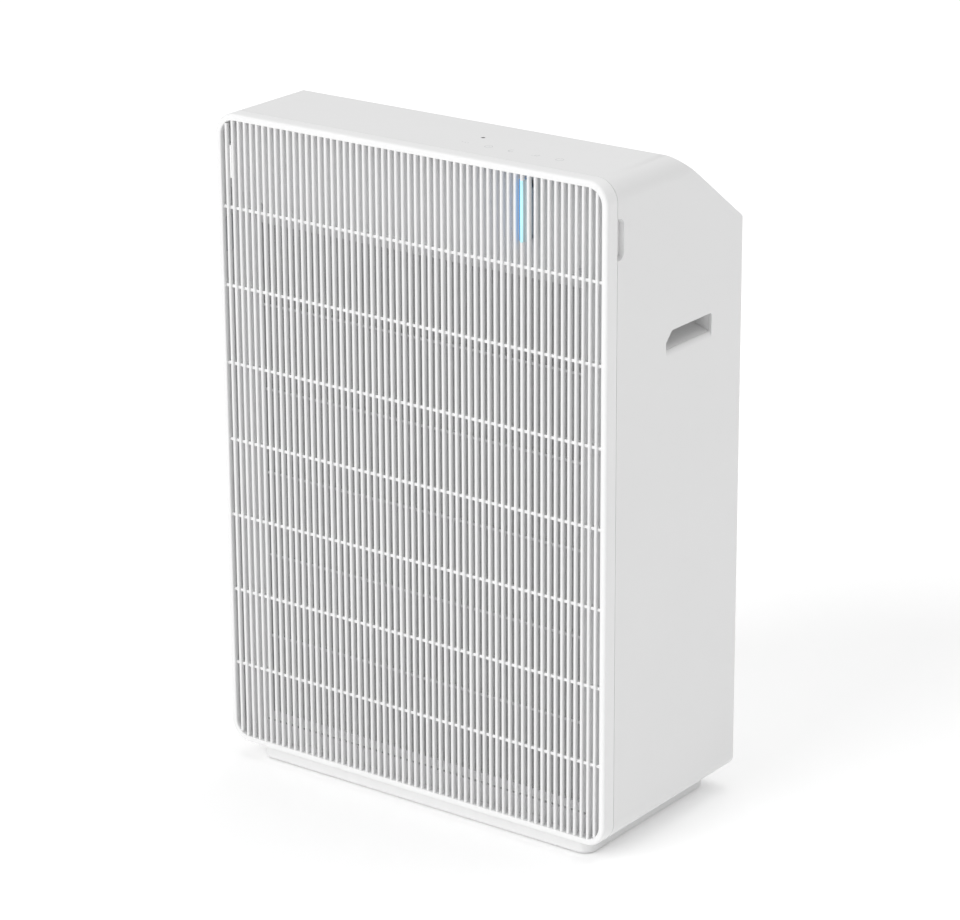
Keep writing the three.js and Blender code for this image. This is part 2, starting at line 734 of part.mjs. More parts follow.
place('handle_cup_left', handleCup(-1), whitePlastic);
place('handle_cup_right', handleCup(1), whitePlastic);

// ---------------------------------------------------------------- chassis: filter bay and fascia

const fasciaBottom = bayTop + INNER_WALL + GAP;
const postX = bayWidth / 2 - POST_IN;
const postZ = bayTop + INNER_WALL + POST_R - POST_BITE;
const postRear = chassisRear + GAP + POST_LENGTH;
const fasciaScrewPlaces = [[-postX, postZ], [postX, postZ]];

function filterBay() {
  const wallRing = outline(rectangle(
    -bayWidth / 2 - INNER_WALL, bayWidth / 2 + INNER_WALL, bayBottom - INNER_WALL, bayTop + INNER_WALL,
  ));
  wallRing.holes.push(hole(rectangle(-bayWidth / 2, bayWidth / 2, bayBottom, bayTop)));
  const flange = solid(block(-WIDTH, WIDTH, chassisFront, chassisRear, 0, bayTop + INNER_WALL));
  const bulkhead = outline(rectangle(
    -bayWidth / 2 - INNER_WALL, bayWidth / 2 + INNER_WALL, bayBottom - INNER_WALL, TOP,
  ));
  const posts = fasciaScrewPlaces.map(([x, z]) =>
    rod(POST_R, at(chassisRear + GAP), at(postRear)).translate(x, 0, z));
  const body = flange.intersect(roomInside)
    .add(solid(slabFacingFront(wallRing, chassisFront, bulkheadRear)))
    .add(solid(slabFacingFront(bulkhead, bulkheadFront, bulkheadRear)).intersect(roomInside));
  const openings = [
    block(-bayWidth / 2, bayWidth / 2, 0, bulkheadFront, bayBottom, bayTop),
    rod(INLET_R, at(bulkheadFront - BEYOND), at(bulkheadRear + BEYOND), ROUND).translate(fanX, 0, fanZ),
    ...[-lugX, lugX].map((x) => block(
      x - LUG_WIDTH / 2 - SLIDE_GAP, x + LUG_WIDTH / 2 + SLIDE_GAP,
      0, chassisRear + BITE, 0, lugLow + LUG_HEIGHT + SLIDE_GAP,
    )),
    ...screwHoles(fasciaScrewPlaces, SCREW_SHANK_R + GAP, chassisRear - BITE, postRear - WALL),
  ];
  return cut(body.add(join(posts)), openings);
}

const sensorZ = (fasciaBottom + TOP) / 2;

function upperFascia() {
  const plate = solid(block(-WIDTH, WIDTH, chassisFront, chassisRear, fasciaBottom, TOP));
  const notches = [-1, 1].map((side) =>
    acrossSide(side, outline(notchView(NOTCH_WALL + GAP)), NOTCH_DEPTH + NOTCH_WALL + GAP, 0));
  const vents = [];
  for (let i = 0; i < VENT_SLOTS; i += 1) {
    const z = sensorZ + (i - (VENT_SLOTS - 1) / 2) * VENT_PITCH;
    vents.push(block(
      SENSOR_X - VENT_LENGTH / 2, SENSOR_X + VENT_LENGTH / 2,
      0, chassisRear + BITE, z - VENT_SLOT / 2, z + VENT_SLOT / 2,
    ));
  }
  return cut(plate.intersect(roomInside), [
    ...notches,
    ...vents,
    block(
      statusX - STATUS_WINDOW / 2, statusX + STATUS_WINDOW / 2,
      0, chassisRear + BITE, statusBottom, statusTop - STATUS_WINDOW_DROP,
    ),
    ...screwHoles(fasciaScrewPlaces, SCREW_SHANK_R + GAP, chassisFront - BITE, chassisRear + BITE),
  ]);
}

place('filter_bay', filterBay(), chassisPlastic);
place('upper_fascia', upperFascia(), chassisPlastic);

// A screw whose head faces the front or the rear; its head's underside is at the given depth.
function screw(name, x, z, underHead, towards, scale = 1) {
  const geometry = turned([
    [0, towards * SCREW_HEAD * scale],
    [SCREW_HEAD_R * scale * SCREW_CROWN, towards * SCREW_HEAD * scale],
    [SCREW_HEAD_R * scale, 0],
    [SCREW_SHANK_R, 0],
    [SCREW_SHANK_R, -towards * SCREW_LENGTH],
    [0, -towards * (SCREW_LENGTH + SCREW_POINT)],
  ], SMALL_ROUND);
  place(name, geometry, steel).position.set(x, at(underHead), z);
}

fasciaScrewPlaces.forEach(([x, z], i) => screw(`fascia_screw_${i + 1}`, x, z, chassisFront - GAP, -1));

// ---------------------------------------------------------------- filters

const filterLeft = -filterWidth / 2;
const filterLow = bayBottom + SLIDE_GAP;
const filterOutline = rectangle(filterLeft, -filterLeft, filterLow, filterLow + filterHeight);

function framedRing(border, front, rear) {
  const shape = outline(filterOutline);
  shape.holes.push(hole(offsetOutline(filterOutline, -border)));
  return slabFacingFront(shape, front, rear);
}

function prefilterFrame() {
  const rear = prefilterFront + PREFILTER_FRAME_DEPTH;
  const half = PREFILTER_BAR / 2;
  const reach = PREFILTER_BORDER - BITE;
  const rowPitch = (filterHeight - PREFILTER_BORDER) / PREFILTER_ROWS;
  const upright = block(
    -half, half, prefilterFront, rear, filterLow + reach, filterLow + filterHeight - reach,
  );
  const bars = [upright];
  for (let row = 1; row < PREFILTER_ROWS; row += 1) {
    const z = filterLow + PREFILTER_BORDER / 2 + row * rowPitch;
    bars.push(block(filterLeft + reach, -filterLeft - reach, prefilterFront, rear, z - half, z + half));
  }
  return join([framedRing(PREFILTER_BORDER, prefilterFront, rear), ...bars]);
}

function carbonCore() {
  const shape = outline(offsetOutline(filterOutline, -CARBON_BORDER - GAP));
  return slabFacingFront(shape, carbonFront + CARBON_SETBACK, carbonFront + CARBON_DEPTH - CARBON_SETBACK);
}

// Paper folded to and fro with upright folds: a zigzag, and the same zigzag a paper's thickness behind.
function pleats() {
  const half = filterWidth / 2 - HEPA_BORDER - GAP;
  const folds = 4 * Math.round(half / PLEAT_PITCH);
  const step = 2 * half / folds;
  const near = at(hepaFront + PLEAT_SETBACK);
  const far = at(hepaFront + HEPA_DEPTH - PLEAT_SETBACK);
  const rise = PAPER * Math.hypot(1, (far - near) / step);
  const front = [];
  const rear = [];
  for (let i = 0; i <= folds; i += 1) {
    const y = i % 2 ? far - rise : near;
    front.push([-half + i * step, y]);
    rear.unshift([-half + i * step, y + rise]);
  }
  const low = filterLow + HEPA_BORDER + GAP;
  return slabInPlan(outline([...front, ...rear]), low, low + filterHeight - 2 * (HEPA_BORDER + GAP));
}

function pullTab() {
  const high = filterLow + filterHeight - TAB_DROP;
  return block(
    -TAB_WIDTH / 2, TAB_WIDTH / 2, hepaFront - FILTER_SPACE + GAP, hepaFront - GAP, high - TAB_LENGTH, high,
  );
}

place('prefilter_frame', prefilterFrame(), chassisPlastic);
place(
  'prefilter_net',
  slabFacingFront(outline(filterOutline), netFront, netFront + PREFILTER_NET),
  netFabric,
);
place('carbon_frame', framedRing(CARBON_BORDER, carbonFront, carbonFront + CARBON_DEPTH), darkPlastic);
place('carbon_core', carbonCore(), carbon);
place('hepa_frame', framedRing(HEPA_BORDER, hepaFront, hepaFront + HEPA_DEPTH), filterPaper);
place('hepa_pleats', pleats(), filterPaper);
place('hepa_gasket', framedRing(GASKET_WIDTH, gasketFront, gasketFront + GASKET_DEPTH), foam);
place('hepa_pull_tab', pullTab(), fabricTape);

// ---------------------------------------------------------------- fan inlet

function sectorHole(innerR, outerR, from, to) {
  const path = new THREE.Path();
  path.absarc(0, 0, outerR, from, to, false);
  path.absarc(0, 0, innerR, to, from, true);
  path.closePath();
  return path;
}

function inletGuard() {
  const edgeR = INLET_R - GUARD_CLEAR;
  const sector = 2 * Math.PI / GUARD_SPOKES;
  const shape = new THREE.Shape();
  for (let spoke = 0; spoke < GUARD_SPOKES; spoke += 1) {
    shape.absarc(0, 0, edgeR, spoke * sector, (spoke + 1) * sector, false);
  }
  const bandWidth = (edgeR - GUARD_HUB_R) / GUARD_RINGS;
  for (let band = 0; band < GUARD_RINGS; band += 1) {
    const innerR = GUARD_HUB_R + band * bandWidth;
    const outerR = innerR + bandWidth - GUARD_BAR;
    const margin = GUARD_BAR / 2 / innerR;
    for (let spoke = 0; spoke < GUARD_SPOKES; spoke += 1) {
      shape.holes.push(sectorHole(innerR, outerR, spoke * sector + margin, (spoke + 1) * sector - margin));
    }
  }
  return slabFacingFront(shape, bulkheadFront, bulkheadRear, 2);
}

// A trumpet that leads the air from the bulkhead into the eye of the impeller.
function bellmouth() {
  const mouth = at(scrollFront);
  const throat = at(fanFront + BELLMOUTH_REACH);
  const flow = [];
  for (let i = 0; i <= BELLMOUTH_STEPS; i += 1) {
    const angle = i / BELLMOUTH_STEPS * Math.PI / 2;
    flow.push([
      THROAT_R + (INLET_R - THROAT_R) * (1 - Math.sin(angle)),
      throat - (throat - mouth) * Math.cos(angle),
    ]);
  }
  const outside = flow.slice(1).reverse().map(([radius, y]) => [
    radius + BELLMOUTH_WALL,
    y === throat ? y : y + BELLMOUTH_WALL / 2,
  ]);
  const flangeR = INLET_R + BELLMOUTH_FLANGE;
  return turned([
    ...flow,
    ...outside,
    [INLET_R + BELLMOUTH_WALL, mouth + BELLMOUTH_WALL],
    [flangeR, mouth + BELLMOUTH_WALL],
    [flangeR, mouth],
    flow[0],
  ]);
}

place('inlet_guard', inletGuard(), darkPlastic).position.set(fanX, 0, fanZ);
place('inlet_bellmouth', bellmouth(), greyPlastic).position.set(fanX, 0, fanZ);

// ---------------------------------------------------------------- fan scroll

function scrollOutline() {
  const corners = [];
  for (let i = 0; i <= SCROLL_STEPS; i += 1) {
    const turn = i / SCROLL_STEPS * (360 - TONGUE_ANGLE);
    const angle = degrees(TONGUE_ANGLE + turn);
    const radius = scrollStartR + scrollGrowth * turn;
    corners.push([fanX + radius * Math.cos(angle), fanZ + radius * Math.sin(angle)]);
  }
  const flareTop = TOP - CHAMFER_DROP - DUCT_BELOW_CHAMFER;
  corners.push([ductHalf, flareTop], [ductHalf, 2 * TOP], [-ductHalf, 2 * TOP], [-ductHalf, flareTop]);
  return corners;
}

const mountPlaces = [];
for (let i = 0; i < MOUNTS; i += 1) {
  const angle = degrees(90 + 360 * i / MOUNTS);
  mountPlaces.push([fanX + MOUNT_CIRCLE_R * Math.cos(angle), fanZ + MOUNT_CIRCLE_R * Math.sin(angle)]);
}

function scrollHousing() {
  const air = scrollOutline();
  const outside = offsetOutline(air, INNER_WALL);
  const shape = outline(outside);
  shape.holes.push(hole(air));
  const room = envelope(WALL + GRILLE_LIP_DEPTH + 2 * GAP, chassisFront);
  const body = join([
    slabFacingFront(shape, scrollFront, scrollRear),
    slabFacingFront(outline(outside), scrollPlate, scrollRear),
  ]).intersect(room);
  const motorHole = rod(
    MOTOR_R + MOTOR_HOLE_CLEAR, at(scrollPlate - BEYOND), at(scrollRear + BEYOND), ROUND,
  ).translate(fanX, 0, fanZ);
  return cut(body, [
    motorHole,
    ...screwHoles(mountPlaces, SCREW_SHANK_R + GAP, scrollPlate - BITE, scrollRear + BITE),
  ]);
}

place('scroll_housing', scrollHousing(), greyPlastic);

// ---------------------------------------------------------------- impeller and motor

const fan = new THREE.Group();
fan.position.set(fanX, 0, fanZ);
purifier.add(fan);

const discRear = at(fanRear);
const discFront = discRear - DISC;
const hubFront = discRear - DISH_DEPTH - HUB_LENGTH / 2;

function impellerBlade(angle) {
  const sweep = degrees(BLADE_SWEEP);
  const leading = [];
  const trailing = [];
  for (let i = 0; i <= BLADE_STEPS; i += 1) {
    const share = i / BLADE_STEPS;
    const radius = BLADE_INNER_R + share * (FAN_R - BLADE_TIP_BITE - BLADE_INNER_R);
    const lead = angle + sweep * share * share;
    const half = BLADE_THICKNESS / 2 / radius;
    leading.push([radius * Math.cos(lead + half), radius * Math.sin(lead + half)]);
    trailing.push([radius * Math.cos(lead - half), radius * Math.sin(lead - half)]);
  }
  const corners = [...trailing, ...leading.reverse()];
  return slabFacingFront(outline(corners), fanFront + BITE, fanRear - DISC / 2);
}

function impeller() {
  const boreR = SHAFT_R + GAP;
  const disc = turned([
    [boreR, hubFront],
    [HUB_R, hubFront],
    [HUB_R, discFront - DISH_DEPTH],
    [DISH_R, discFront],
    [FAN_R, discFront],
    [FAN_R, discRear],
    [DISH_R - 1, discRear],
    [HUB_R, discRear - DISH_DEPTH + 1],
    [boreR, discRear - DISH_DEPTH + 1],
    [boreR, hubFront],
  ]);
  const shroud = ring(FAN_R - SHROUD_WIDTH, FAN_R, at(fanFront), at(fanFront) + DISC);
  const blades = [];
  for (let i = 0; i < BLADES; i += 1) {
    blades.push(impellerBlade(2 * Math.PI * i / BLADES));
  }
  return join([disc, shroud, ...blades]);
}

function motorCase() {
  const boreR = BEARING_R + GAP;
  const front = at(motorFront);
  const rear = at(motorRear);
  const flange = at(motorFlange);
  const cavityR = ROTOR_R + ROTOR_SPACE;
  const body = solid(turned([
    [0, rear],
    [MOTOR_R - MOTOR_BEVEL, rear],
    [MOTOR_R, rear - MOTOR_BEVEL],
    [MOTOR_R, flange + INNER_WALL],
    [MOTOR_FLANGE_R, flange + INNER_WALL],
    [MOTOR_FLANGE_R, flange],
    [MOTOR_R, flange],
    [MOTOR_R, front],
    [boreR, front],
    [boreR, front + MOTOR_END_WALL],
    [cavityR, front + MOTOR_END_WALL],
    [cavityR, rear - MOTOR_END_WALL],
    [boreR, rear - MOTOR_END_WALL],
    [boreR, rear - MOTOR_CAP],
    [0, rear - MOTOR_CAP],
  ]));
  const holes = mountPlaces.map(([x, z]) =>
    rod(SCREW_SHANK_R + GAP, flange - BITE, flange + INNER_WALL + BITE).translate(x - fanX, 0, z - fanZ));
  return cut(body, holes);
}

function shaftNut() {
  const corners = [0, 60, 120, 180, 240, 300].map(degrees).map((angle) => [
    NUT_R * Math.cos(angle),
    NUT_R * Math.sin(angle),
  ]);
  const shape = outline(corners);
  shape.holes.push(circleHole(0, 0, SHAFT_R + GAP));
  return extrude(shape, NUT_LENGTH, SMALL_ROUND / 2).rotateX(Math.PI / 2).translate(0, hubFront - GAP, 0);
}

function motorRotor() {
  const front = at(motorFront + MOTOR_END_WALL + ROTOR_SPACE);
  const rear = at(motorRear - MOTOR_END_WALL - ROTOR_SPACE);
  return ring(SHAFT_R + GAP, ROTOR_R, front, rear);
}

function motorShaft() {
  return rod(SHAFT_R, hubFront - SHAFT_BEYOND_HUB, at(motorRear - MOTOR_CAP - ROTOR_SPACE), BEARING_ROUND);
}

function bearing(front, rear) {
  return ring(SHAFT_R + RUNNING, BEARING_R, at(front), at(rear), BEARING_ROUND);
}

const frontBearing = bearing(motorFront, motorFront + MOTOR_END_WALL - BEARING_SETBACK);
const rearBearing = bearing(motorRear - MOTOR_END_WALL + BEARING_SETBACK, motorRear - MOTOR_CAP - GAP);

place('impeller', impeller(), whitePlastic, fan);
place('motor_case', motorCase(), steel, fan);
place('motor_rotor', motorRotor(), steel, fan);
place('motor_shaft', motorShaft(), steel, fan);
place('shaft_nut', shaftNut(), steel, fan);
place('motor_bearing_front', frontBearing, steel, fan);
place('motor_bearing_rear', rearBearing, steel, fan);

mountPlaces.forEach(([x, z], i) => {
  const near = at(scrollRear) + GAP;
  const grommet = ring(SCREW_SHANK_R + GAP, GROMMET_R, near, near + GROMMET_HEIGHT, SMALL_ROUND);
  place(`motor_mount_${i + 1}`, grommet, rubber).position.set(x, 0, z);
  screw(`motor_screw_${i + 1}`, x, z, motorFlange + INNER_WALL + GAP, 1, MOTOR_SCREW_SCALE);
});

// ---------------------------------------------------------------- outlet grille

function outletGrille() {
  const halfWidth = ductHalf;
  const halfLength = GRILLE_LENGTH / 2;
  const slotHalf = halfLength - GRILLE_BORDER;
  const across = 2 * (halfWidth - GRILLE_BORDER);
  const count = Math.round((across - RIB_SLOT) / (RIB_WIDTH + RIB_SLOT));
  const pitch = (across + RIB_WIDTH) / (count + 1);
  const depth = WALL + GAP + GRILLE_LIP_DEPTH;
  const opening = rectangle(-across / 2, across / 2, -slotHalf, slotHalf);
  const face = outline(rectangle(-halfWidth, halfWidth, -halfLength, halfLength));
  face.holes.push(hole(opening));
  const lip = outline(rectangle(
    -halfWidth - GRILLE_LIP, halfWidth + GRILLE_LIP, -halfLength - GRILLE_LIP, halfLength + GRILLE_LIP,
  ));
  lip.holes.push(hole(opening));
  const ribs = [];
  for (let i = 1; i <= count; i += 1) {
    const rib = new THREE.BoxGeometry(RIB_WIDTH, 2 * (slotHalf + BITE), depth - RIB_SETBACK);
    ribs.push(rib.translate(-across / 2 - RIB_WIDTH / 2 + i * pitch, 0, -(depth + RIB_SETBACK) / 2));
  }
  return join([
    extrude(face, depth).translate(0, 0, -depth),
    extrude(lip, GRILLE_LIP_DEPTH).translate(0, 0, -depth),
    ...ribs,
  ]);
}

place('outlet_grille', outletGrille(), whitePlastic).applyMatrix4(slopeFrame);

// ---------------------------------------------------------------- rear panel and mains inlet

const socketX = WIDTH / 2 - SOCKET_FROM_SIDE;
const socketZ = panelBottom + SOCKET_ABOVE_PANEL_EDGE;
const socketView = (grow) => offsetOutline(rectangle(
  socketX - SOCKET_WIDTH / 2, socketX + SOCKET_WIDTH / 2,
  socketZ - SOCKET_HEIGHT / 2, socketZ + SOCKET_HEIGHT / 2, SOCKET_R,
), grow);

const flangeRear = panelOuter + GAP + SOCKET_FLANGE_DEPTH;
const socketFloor = flangeRear - SOCKET_DEPTH + SOCKET_WALL;

function rearPanel() {
  const shape = outline(panelView);
  shape.holes.push(hole(socketView(GAP)));
  shape.holes.push(...panelScrewPlaces.map(([x, z]) => circleHole(x, z, SCREW_SHANK_R + GAP)));
  return slabFacingFront(shape, panelInner, panelOuter);
}

function mainsInlet() {
  const body = join([
    slabFacingFront(outline(socketView(0)), flangeRear - SOCKET_DEPTH, flangeRear),
    slabFacingFront(outline(socketView(SOCKET_FLANGE)), panelOuter + GAP, flangeRear),
  ]);
  return cut(body, [slabFacingFront(outline(socketView(-SOCKET_WALL)), socketFloor, DEPTH + BEYOND)]);
}

place('rear_panel', rearPanel(), whitePlastic);
place('mains_inlet', mainsInlet(), darkPlastic);
const pinFront = at(socketFloor + GAP);
const pin = rod(PIN_R, pinFront, pinFront + PIN_LENGTH);
place('inlet_pin_left', pin, brass).position.set(socketX - PIN_PITCH / 2, 0, socketZ);
place('inlet_pin_right', pin, brass).position.set(socketX + PIN_PITCH / 2, 0, socketZ);
panelScrewPlaces.forEach(([x, z], i) => {
  screw(`rear_screw_${i + 1}`, x, z, panelOuter + GAP, 1, REAR_SCREW_SCALE);
});

// ---------------------------------------------------------------- plinth and feet

const plinthTop = FOOT_LIFT - GAP;
const plinthView = rectangle(
  -WIDTH / 2 + PLINTH_SIDE, WIDTH / 2 - PLINTH_SIDE, at(PLINTH_FRONT), BACK - PLINTH_REAR, PLINTH_R,
);
const padPlaces = [-1, 1].flatMap((sideX) => [-1, 1].map((sideY) => [
  sideX * (WIDTH / 2 - PLINTH_SIDE - PAD_INSET),
  sideY < 0 ? at(PLINTH_FRONT + PAD_INSET) : BACK - PLINTH_REAR - PAD_INSET,
]));

function basePlinth() {
  const walls = outline(plinthView);
  walls.holes.push(hole(offsetOutline(plinthView, -WALL)));
  const posts = padPlaces.map(([x, y]) => {
    const post = rod(PAD_POST_R, PAD_HEIGHT + GAP, plinthTop - BITE, BEARING_ROUND);
    return post.rotateX(Math.PI / 2).translate(x, y, 0);
  });
  return join([
    slabInPlan(walls, PLINTH_FLOOR_GAP, plinthTop),
    slabInPlan(outline(plinthView), plinthTop - PLINTH_TOP, plinthTop),
    ...posts,
  ]);
}

place('base_plinth', basePlinth(), whitePlastic);
padPlaces.forEach(([x, y], i) => {
  const pad = turned([
    [0, 0], [PAD_R - PAD_BEVEL, 0], [PAD_R, PAD_BEVEL], [PAD_R, PAD_HEIGHT], [0, PAD_HEIGHT],
  ], BEARING_ROUND).rotateX(Math.PI / 2);
  place(`foot_pad_${i + 1}`, pad, rubber).position.set(x, y, 0);
});

// ---------------------------------------------------------------- electronics

function mainBoard() {
  const left = WIDTH / 2 - WALL - MAIN_BOARD_EDGE - MAIN_BOARD_WIDTH;
  const low = FOOT_LIFT + WALL + MAIN_BOARD_EDGE;
  const front = DEPTH - MAIN_BOARD_FROM_REAR;
  const rear = front + BOARD;
  const boxes = [TRANSFORMER, MAINS_FILTER, CONTROLLER, CONNECTORS].map((part) => block(
    left + part.x, left + part.x + part.width, rear - SOLDER_BITE, rear + part.depth,
    low + part.z, low + part.z + part.height,
  ));
  return join([
    block(left, left + MAIN_BOARD_WIDTH, front, rear, low, low + MAIN_BOARD_HEIGHT),
    ...boxes,
    rod(CAPACITOR.radius, at(rear - SOLDER_BITE), at(rear + CAPACITOR.depth))
      .translate(left + CAPACITOR.x, 0, low + CAPACITOR.z),
  ]);
}

function controlBoard() {
  const top = TOP - WALL - BOARD_OFF;
  const front = chassisRear + CONTROL_BOARD_FROM_FASCIA;
  const left = CONTROL_BOARD_X - CONTROL_BOARD_WIDTH / 2;
  const padY = at(front + CONTROL_BOARD_DEPTH / 2 - TOUCH_PAD_SHIFT);
  const pads = [];
  for (let i = 0; i < TOUCH_PADS; i += 1) {
    const x = CONTROL_BOARD_X + (i - (TOUCH_PADS - 1) / 2) * TOUCH_PAD_PITCH;
    const pad = rod(TOUCH_PAD_R, -BOARD_OFF + GAP, SOLDER_BITE).rotateX(-Math.PI / 2);
    pads.push(pad.translate(x, padY, top));
  }
  const chip = block(
    left + TOUCH_CHIP.x, left + TOUCH_CHIP.x + TOUCH_CHIP.width,
    front + TOUCH_CHIP.y, front + TOUCH_CHIP.y + TOUCH_CHIP.length,
    top - BOARD - TOUCH_CHIP.drop, top - BOARD + SOLDER_BITE,
  );
  return join([
    block(left, left + CONTROL_BOARD_WIDTH, front, front + CONTROL_BOARD_DEPTH, top - BOARD, top),
    chip,
    ...pads,
  ]);
}

function statusBoard() {
  const front = chassisRear + GAP + BITE;
  const boardHalf = STATUS_BOARD_WIDTH / 2;
  const ledHalf = STATUS_LED_WIDTH / 2;
  const boardTop = statusTop - STATUS_BOARD_DROP;
  return join([
    block(
      statusX - boardHalf, statusX + boardHalf, front, front + BOARD,
      statusBottom - STATUS_BOARD_BELOW, boardTop,
    ),
    block(
      statusX - ledHalf, statusX + ledHalf, chassisFront + GAP, front + SOLDER_BITE,
      statusBottom + STATUS_LED_IN, boardTop - BITE,
    ),
  ]);
}

function airSensor() {
  const front = chassisRear + GAP;
  const body = solid(block(
    SENSOR_X - SENSOR_WIDTH / 2, SENSOR_X + SENSOR_WIDTH / 2, front, front + SENSOR_DEPTH,
    sensorZ - SENSOR_HEIGHT / 2, sensorZ + SENSOR_HEIGHT / 2,
  ));
  const eye = rod(SENSOR_EYE_R, at(front - BITE), at(front + SENSOR_EYE_DEPTH));
  return cut(body, [eye.translate(SENSOR_X, 0, sensorZ)]);
}

function sensorLens() {
  return turned([
    [0, -LENS_LENGTH], [LENS_R, -LENS_LENGTH], [LENS_R, -GAP], [0, 0],
  ], SMALL_ROUND).rotateX(Math.PI / 2);
}

place('main_board', mainBoard(), circuitBoard);
place('control_board', controlBoard(), circuitBoard);
place('status_light_board', statusBoard(), circuitBoard);
place('air_quality_sensor', airSensor(), chassisPlastic);
place('light_sensor_lens', sensorLens(), smokedLens).position.set(LENS_X, at(LENS_FROM_FRONT), TOP);

export default purifier;
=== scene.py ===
"""A flat console air purifier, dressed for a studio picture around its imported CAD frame.

Sizes are millimetres until mm() turns them into metres. X runs across the front, Y to the rear, Z up.
"""

import json
import math

import bmesh
import bpy
from mathutils import Matrix, Vector


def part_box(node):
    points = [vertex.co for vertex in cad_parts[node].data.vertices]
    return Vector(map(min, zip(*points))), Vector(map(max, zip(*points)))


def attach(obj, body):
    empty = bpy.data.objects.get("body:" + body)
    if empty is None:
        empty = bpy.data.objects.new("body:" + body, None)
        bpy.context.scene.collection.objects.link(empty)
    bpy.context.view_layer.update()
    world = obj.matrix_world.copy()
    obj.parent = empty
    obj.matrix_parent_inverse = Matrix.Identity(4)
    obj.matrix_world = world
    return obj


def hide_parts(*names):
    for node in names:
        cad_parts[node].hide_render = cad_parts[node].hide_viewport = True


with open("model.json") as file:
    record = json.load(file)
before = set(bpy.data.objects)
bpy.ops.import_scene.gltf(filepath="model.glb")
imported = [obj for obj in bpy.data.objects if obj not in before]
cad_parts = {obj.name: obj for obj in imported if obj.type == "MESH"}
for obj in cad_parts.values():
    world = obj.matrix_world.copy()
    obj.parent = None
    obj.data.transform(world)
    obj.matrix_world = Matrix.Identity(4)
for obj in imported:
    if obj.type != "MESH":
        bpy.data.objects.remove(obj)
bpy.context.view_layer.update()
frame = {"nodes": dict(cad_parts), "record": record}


def mm(value):
    return value / 1000


# ---------------------------------------------------------------- places read from the frame


def span(node):
    """A CAD node's lowest and highest corner, in millimetres."""
    low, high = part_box(node)
    return low * 1000, high * 1000


COVER_LOW, COVER_HIGH = span("front_cover")
SHELL_LOW, SHELL_HIGH = span("main_shell")
HALF_WIDTH = COVER_HIGH.x
FRONT = COVER_LOW.y
BACK = SHELL_HIGH.y
FLOOR_LIFT = COVER_LOW.z
TOP = COVER_HIGH.z
SEAM = SHELL_LOW.y

CORNER_R = 20.0
WALL = 2.6
GAP = 0.3
COVER_DEPTH = SEAM - FRONT - GAP
RIM_FACE = 5.8
RIB_WIDTH = 2.8
RIB_SLOT = 4.0
RIB_SETBACK = 0.6
RIB_DEPTH = 3.6
BAR_HEIGHT = 2.6
BAR_DEPTH = 2.5
BAR_PITCH = 71.1
FIRST_BAR_DROP = 84.4
RIB_FRONT = FRONT + RIB_SETBACK
RIB_REAR = RIB_FRONT + RIB_DEPTH
LIP_R = 2.4
INNER_LIP_R = 1.0
SKIRT_EDGE = 0.3
CHAMFER_RUN = 104.0
CHAMFER_DROP = 77.0
MARK_LOW = TOP - 0.1
SHELL_TOP = TOP - 0.05
NOTCH_TOP = TOP - 33
NOTCH_LOW = NOTCH_TOP - 35
NOTCH_REACH = 9.2
NOTCH_DEPTH = 5.0

LUG_INSET = 85
LUG_HALF = 10
LUG_HEIGHT = 3
LENS_HOLE_R = 1.9
SCREW_HOLE_R = 1.7
PLINTH_R = 12
PAD_POST_R = 13
TOUCH_PITCH = 24
NET_PITCH = 1.3
NET_THREAD = 0.5
CELL = 9.0
PLEAT_PITCH = 7.6
PAPER = 0.8
FOLD_R = 0.9
GLUE_BEADS = 5
BEAD_R = 0.6


# ---------------------------------------------------------------- shader maths


class Wire:
    """A node output that takes part in Python arithmetic; each operation adds a Math node."""

    def __init__(self, finish, socket):
        self.finish = finish
        self.socket = socket

    def _math(self, operation, a, b):
        return self.finish.node("ShaderNodeMath", {"operation": operation}, [a, b])

    def __add__(self, other):
        return self._math("ADD", self, other)

    __radd__ = __add__

    def __sub__(self, other):
        return self._math("SUBTRACT", self, other)

    def __rsub__(self, other):
        return self._math("SUBTRACT", other, self)

    def __mul__(self, other):
        return self._math("MULTIPLY", self, other)

    __rmul__ = __mul__

    def __truediv__(self, other):
        return self._math("DIVIDE", self, other)

    def __rtruediv__(self, other):
        return self._math("DIVIDE", other, self)

    def __lt__(self, other):
        return self._math("LESS_THAN", self, other)


